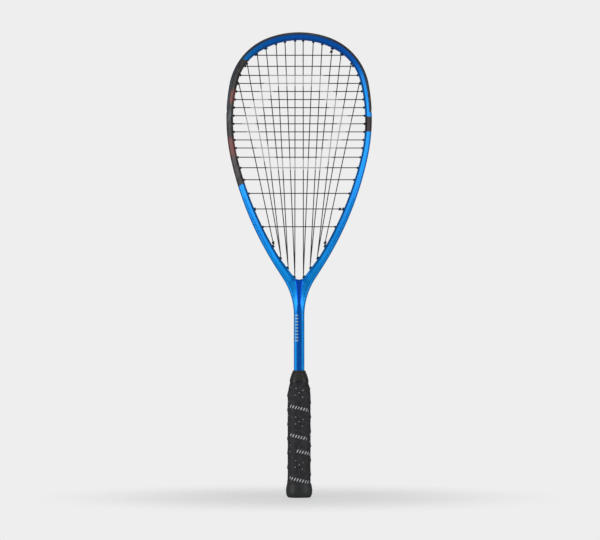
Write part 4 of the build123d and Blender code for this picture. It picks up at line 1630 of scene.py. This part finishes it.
@dataclass
class HandleDress:
    """Finishing tape, collar, butt cap and badge.

    Attributes:
        handle: The handle that carries them.
        around: Points round each of them.
        tape_ends: Levels of the tape's ends.
        tape_grow: Its outside, out from the handle.
        tape_inside: Its inside, out from the handle.
        tape_section: (share of the way up, height over its outside), with the step where a turn ends.
        collar_sides: (level, width) up the collar.
        collar_depths: Depth of its lower and upper end.
        collar_belly: How much deeper it is in between.
        collar_corners: Cut of its corners at the same ends.
        collar_rows: Number of its sections.
        collar_ribs: Number of moulded rings on it.
        rib: Height of a ring.
        collar_mouth: Width, depth and corner of its upper opening.
        collar_seat: (level, distance out from the handle) down its inside.
        butt_sides: (level, width, depth) up the butt cap.
        butt_corner: Cut of its corners, as a share of its width.
        butt_floor: Level of its floor.
        badge_seat: (level, radius) of the seat in its foot.
        badge_section: (radius, level) round the badge's section, with a raised plain ring.
    """

    handle: Handle
    around: int = 96
    tape_ends: Pair = (170.0, 174.0)
    tape_grow: float = 2.24
    tape_inside: float = 1.7
    tape_section: tuple[Pair, ...] = (
        (0.0, -0.22), (0.03, -0.06), (0.08, 0.0), (0.3, 0.0), (0.48, 0.0), (0.505, 0.16), (0.52, 0.16),
        (0.7, 0.16), (0.92, 0.16), (0.97, 0.10), (1.0, -0.06))
    collar_sides: tuple[Pair, ...] = (
        (172.5, 28.3), (175.0, 26.9), (178.0, 25.0), (180.0, 23.8), (183.5, 21.2), (185.5, 19.5),
        (187.5, 18.0))
    collar_depths: Pair = (27.9, 19.2)
    collar_belly: float = 1.2
    collar_corners: Pair = (6.8, 5.2)
    collar_rows: int = 64
    collar_ribs: float = 3.6
    rib: float = 0.34
    collar_mouth: Triple = (16.2, 17.4, 4.6)
    collar_seat: tuple[Pair, ...] = (
        (182.2, 0.05), (176.6, 0.05), (176.5, 1.55), (174.2, 1.75), (174.1, 2.44), (172.5, 2.44))
    butt_sides: tuple[Triple, ...] = (
        (0.0, 30.0, 24.4), (0.3, 32.2, 26.6), (1.1, 34.6, 29.0), (2.6, 36.6, 30.9), (4.8, 38.1, 32.3),
        (7.5, 39.0, 33.2), (10.5, 39.2, 33.4), (13.5, 38.8, 33.0), (16.5, 37.8, 32.1), (19.0, 36.6, 31.0),
        (20.5, 36.1, 30.5), (GRIP_LOW, 35.5, 29.9))
    butt_corner: float = 10 / 39.4
    butt_floor: float = 3.4
    badge_seat: tuple[Pair, ...] = ((1.1, 11.15), (0.15, 11.2), (0.0, 11.4))
    badge_section: tuple[Pair, ...] = (
        (0.05, 1.1), (10.9, 1.1), (11.0, 1.0), (11.0, 0.5), (10.8, 0.32), (8.3, 0.32), (8.1, 0.12),
        (6.9, 0.12), (6.7, 0.32), (2.6, 0.32), (2.4, 0.2), (0.05, 0.2))

    def tape(self) -> bpy.types.Object:
        """Self-adhesive tape over the wrap's upper end, wound one and a half times."""
        low, high = self.tape_ends
        outside = []
        for share, lift in self.tape_section:
            level = mix(low, high, share)
            outside.append((level, self.handle.ring(level, self.tape_grow + lift, self.around)))
        inside = [(level, self.handle.ring(level, self.tape_inside, self.around)) for level in (high, low)]
        piece = LevelledSleeve("finishing_tape_wound").build(outside, inside)
        finish = Moulding("tape_vinyl", (0.012, 0.012, 0.013), (0.03, 0.03, 0.032), 0.30, grain=500.0)
        return dress(piece, finish.material(), "tape", "finishing_tape")

    def collar(self) -> bpy.types.Object:
        """Rubber collar, tapered to the shaft, with moulded rings."""
        levels, widths = zip(*self.collar_sides)
        outside = []
        for number in range(self.collar_rows + 1):
            share = number / self.collar_rows
            level = mix(levels[0], levels[-1], share)
            width = float(np.interp(level, levels, widths))
            depth = mix(*self.collar_depths, share) + self.collar_belly * math.sin(math.pi * share)
            corner = mix(*self.collar_corners, share)
            wave = max(0.0, math.sin(2 * math.pi * (share * self.collar_ribs - 0.1))) ** 1.5
            rings = self.rib * wave * smooth(share, 0.02, 0.2)
            lip = -0.4 * smooth(share, 0.96, 1.0) - 0.2 * smooth(share, 0.04, 0.0)
            grow = 2 * (rings + lip)
            outside.append((level, cut_box(width + grow, depth + grow, corner, 0.9, self.around)))
        inside = [(levels[-1], cut_box(*self.collar_mouth, 0.8, self.around))]
        inside += [(level, self.handle.ring(level, grow, self.around)) for level, grow in self.collar_seat]
        piece = LevelledSleeve("grip_collar_moulding").build(outside, inside)
        finish = Moulding("collar_rubber", (0.017, 0.014, 0.013), (0.045, 0.034, 0.03), 0.46, scuffs=0.15)
        return dress(piece, finish.material(), "collar_rubber", "grip_collar")

    def butt_cap(self) -> bpy.types.Object:
        """Flared rubber cap with a rounded foot, an upper lip and a seat for the badge."""
        outside = [(level, cut_box(width, depth, width * self.butt_corner, 0.85, self.around))
                   for level, width, depth in self.butt_sides]
        core = self.handle.ring(GRIP_LOW, 0.0, self.around)
        vent = cut_box(8.0, 8.0, 2.0, 1.0, self.around)
        inside = [(GRIP_LOW, core), (self.butt_floor, core), (self.butt_floor, vent), (1.15, vent)]
        inside += [(level, circle(radius, self.around)) for level, radius in self.badge_seat]
        piece = LevelledSleeve("butt_cap_moulding").build(outside, inside)
        finish = Moulding("butt_rubber", (0.020, 0.021, 0.021), (0.038, 0.038, 0.038), 0.50, grain=1400.0,
                          depth=0.00006, scuffs=0.2)
        return dress(piece, finish.material(), "butt_rubber", "butt_cap")

    def badge(self) -> bpy.types.Object:
        """Round badge in the cap's foot, with a raised plain ring."""
        rings = [[(x, y, level) for x, y in circle(radius, self.around)]
                 for radius, level in self.badge_section]
        pot = MeshPot()
        pot.ring_loft(rings, closed=True, caps=True)
        piece = pot.pour("butt_badge_disc", smooth_angle=30.0)
        return dress(piece, BadgeEnamel().material(), "badge", "butt_badge")

    def build(self) -> list[bpy.types.Object]:
        """Makes all of them."""
        return [self.tape(), self.collar(), self.butt_cap(), self.badge()]


# ---- CAD nodes that stay --------------------------------------------------------------------------------
class CadFinishes:
    """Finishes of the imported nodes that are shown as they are."""

    def build(self) -> list[bpy.types.Object]:
        """Gives each node its finish."""
        nylon = Moulding("grommet_nylon", (0.014, 0.014, 0.016), (0.03, 0.031, 0.034), 0.40).material()
        foam = Moulding("handle_foam", (0.16, 0.15, 0.13), (0.24, 0.22, 0.19), 0.7, grain=500.0,
                        depth=0.0002).material()
        plug = Moulding("plug_foam", (0.30, 0.29, 0.26), (0.42, 0.40, 0.37), 0.8, grain=500.0,
                        depth=0.0003).material()
        finishes = {"grommet_strip": nylon, "throat_grommet": nylon, "handle_core": foam, "shaft_plug": plug,
                    "butt_tacks": Metal().material()}
        dressed = []
        for start, finish in finishes.items():
            for name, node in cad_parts.items():
                if name.startswith(start):
                    node.data.materials.clear()
                    node.data.materials.append(finish)
                    dressed.append(node)
        return dressed


# ---- studio ---------------------------------------------------------------------------------------------
@dataclass
class Studio:
    """Pale floor, soft light from all round and the camera.

    Attributes:
        paper: Brightness of the background.
        fill: Colour of the light from all round.
        fill_strength: Its strength.
        lamps: (name, place, size, watts) of each rectangular light.
        floor_radii: Radii of the floor's rings, in mm.
        floor_level: Level of the floor, in mm, just under the butt.
        floor_around: Points round it.
        floor_white: Its brightness.
        floor_grey: Its brightness where it is grainy.
        distance: From the camera to the racket, in metres.
        seen_width: Width that the camera takes in there.
        sensor: Width of the camera's sensor, in mm.
        aim: Point at the middle of the view.
    """

    paper: float = 0.855
    fill: Triple = (0.62, 0.64, 0.68)
    fill_strength: float = 0.30
    lamps: tuple[tuple[str, Triple, Pair, float], ...] = (
        ("left_strip", (-1.7, -1.3, 0.25), (1.7, 2.0), 23.0),
        ("right_strip", (1.7, -1.3, 0.25), (1.5, 2.0), 17.5),
        ("top", (0.0, -0.5, 2.2), (1.2, 0.8), 4.0),
        ("back", (0.0, 2.0, 1.0), (1.8, 1.4), 9.0))
    floor_radii: tuple[float, ...] = (1.0, 200.0, 420.0, 900.0)
    floor_level: float = -0.05
    floor_around: int = 72
    floor_white: float = 0.93
    floor_grey: float = 0.75
    distance: float = 6.0
    seen_width: float = 0.885
    sensor: float = 36.0
    aim: Triple = (0.0013, 0.0, 0.3355)

    def floor(self) -> None:
        """A round pale floor that fades out before its edge."""
        pot = MeshPot()
        rings = [[(x, y, self.floor_level) for x, y in circle(radius, self.floor_around)]
                 for radius in self.floor_radii]
        pot.ring_loft(rings, closed=True)
        pot.plate(rings[0])
        piece = pot.pour("floor")
        bench = Bench("floor_paper")
        where, x, y, _z = bench.place()
        reach = (x * x + y * y) ** 0.5
        grain = bench.noise(where, 800.0, 2.0)
        paper = bench.blend(grain * 0.1, (self.floor_white,) * 3, (self.floor_grey,) * 3)
        bench.set(Base_Color=paper, Roughness=0.85, Alpha=reach.rise(0.42, 0.06) * 0.42)
        piece.data.materials.append(bench.material)

    def light(self, name: str, place: Triple, size: Pair, power: float) -> None:
        """A soft rectangular light aimed at the racket's middle."""
        lamp = bpy.data.lights.new(name, "AREA")
        lamp.shape = "RECTANGLE"
        lamp.size, lamp.size_y = size
        lamp.energy = power
        holder = bpy.data.objects.new(name, lamp)
        holder.location = place
        holder.rotation_euler = (Vector(self.aim) - Vector(place)).to_track_quat("-Z", "Y").to_euler()
        bpy.context.scene.collection.objects.link(holder)

    def lights(self) -> None:
        """Strips in front on both sides, a light above and one behind."""
        for lamp in self.lamps:
            self.light(*lamp)

    def world(self) -> None:
        """Pale background that lights softly from the sides and above."""
        world = bpy.data.worlds.new("studio")
        bpy.context.scene.world = world
        world.use_nodes = True
        tree = world.node_tree
        tree.nodes.clear()
        rays = tree.nodes.new("ShaderNodeLightPath")
        seen = tree.nodes.new("ShaderNodeBackground")
        seen.inputs[0].default_value = (self.paper, self.paper, self.paper, 1.0)
        lit = tree.nodes.new("ShaderNodeBackground")
        lit.inputs[0].default_value = (*self.fill, 1.0)
        lit.inputs[1].default_value = self.fill_strength
        chooser = tree.nodes.new("ShaderNodeMixShader")
        target = tree.nodes.new("ShaderNodeOutputWorld")
        tree.links.new(rays.outputs["Is Camera Ray"], chooser.inputs[0])
        tree.links.new(lit.outputs[0], chooser.inputs[1])
        tree.links.new(seen.outputs[0], chooser.inputs[2])
        tree.links.new(chooser.outputs[0], target.inputs["Surface"])

    def camera(self) -> None:
        """Camera square on to the bed from far away."""
        lens = bpy.data.cameras.new("camera")
        lens.sensor_width = self.sensor
        lens.lens = self.sensor * self.distance / self.seen_width
        eye = bpy.data.objects.new("camera", lens)
        eye.location = (self.aim[0], -self.distance, self.aim[2])
        eye.rotation_euler = (math.pi / 2, 0.0, 0.0)
        lens.clip_end = 4 * self.distance
        bpy.context.scene.collection.objects.link(eye)
        bpy.context.scene.camera = eye

    def build(self) -> None:
        """Sets the studio up."""
        self.camera()
        self.world()
        self.lights()
        self.floor()
        bpy.context.scene.view_settings.view_transform = "Standard"


def main() -> None:
    """Builds every sub-assembly round the frame and reports it."""
    Studio().build()
    handle = Handle()
    made: list[bpy.types.Object] = [FrameMoulding().build(), BumperGuard().build()]
    made += StringBed().build()
    made.append(GripWrap().build(handle))
    made += HandleDress(handle).build()
    made += CadFinishes().build()
    for piece in made:
        LOG.info("%s: %d faces", piece.name, len(piece.data.polygons))


if __name__ == "__main__":
    main()
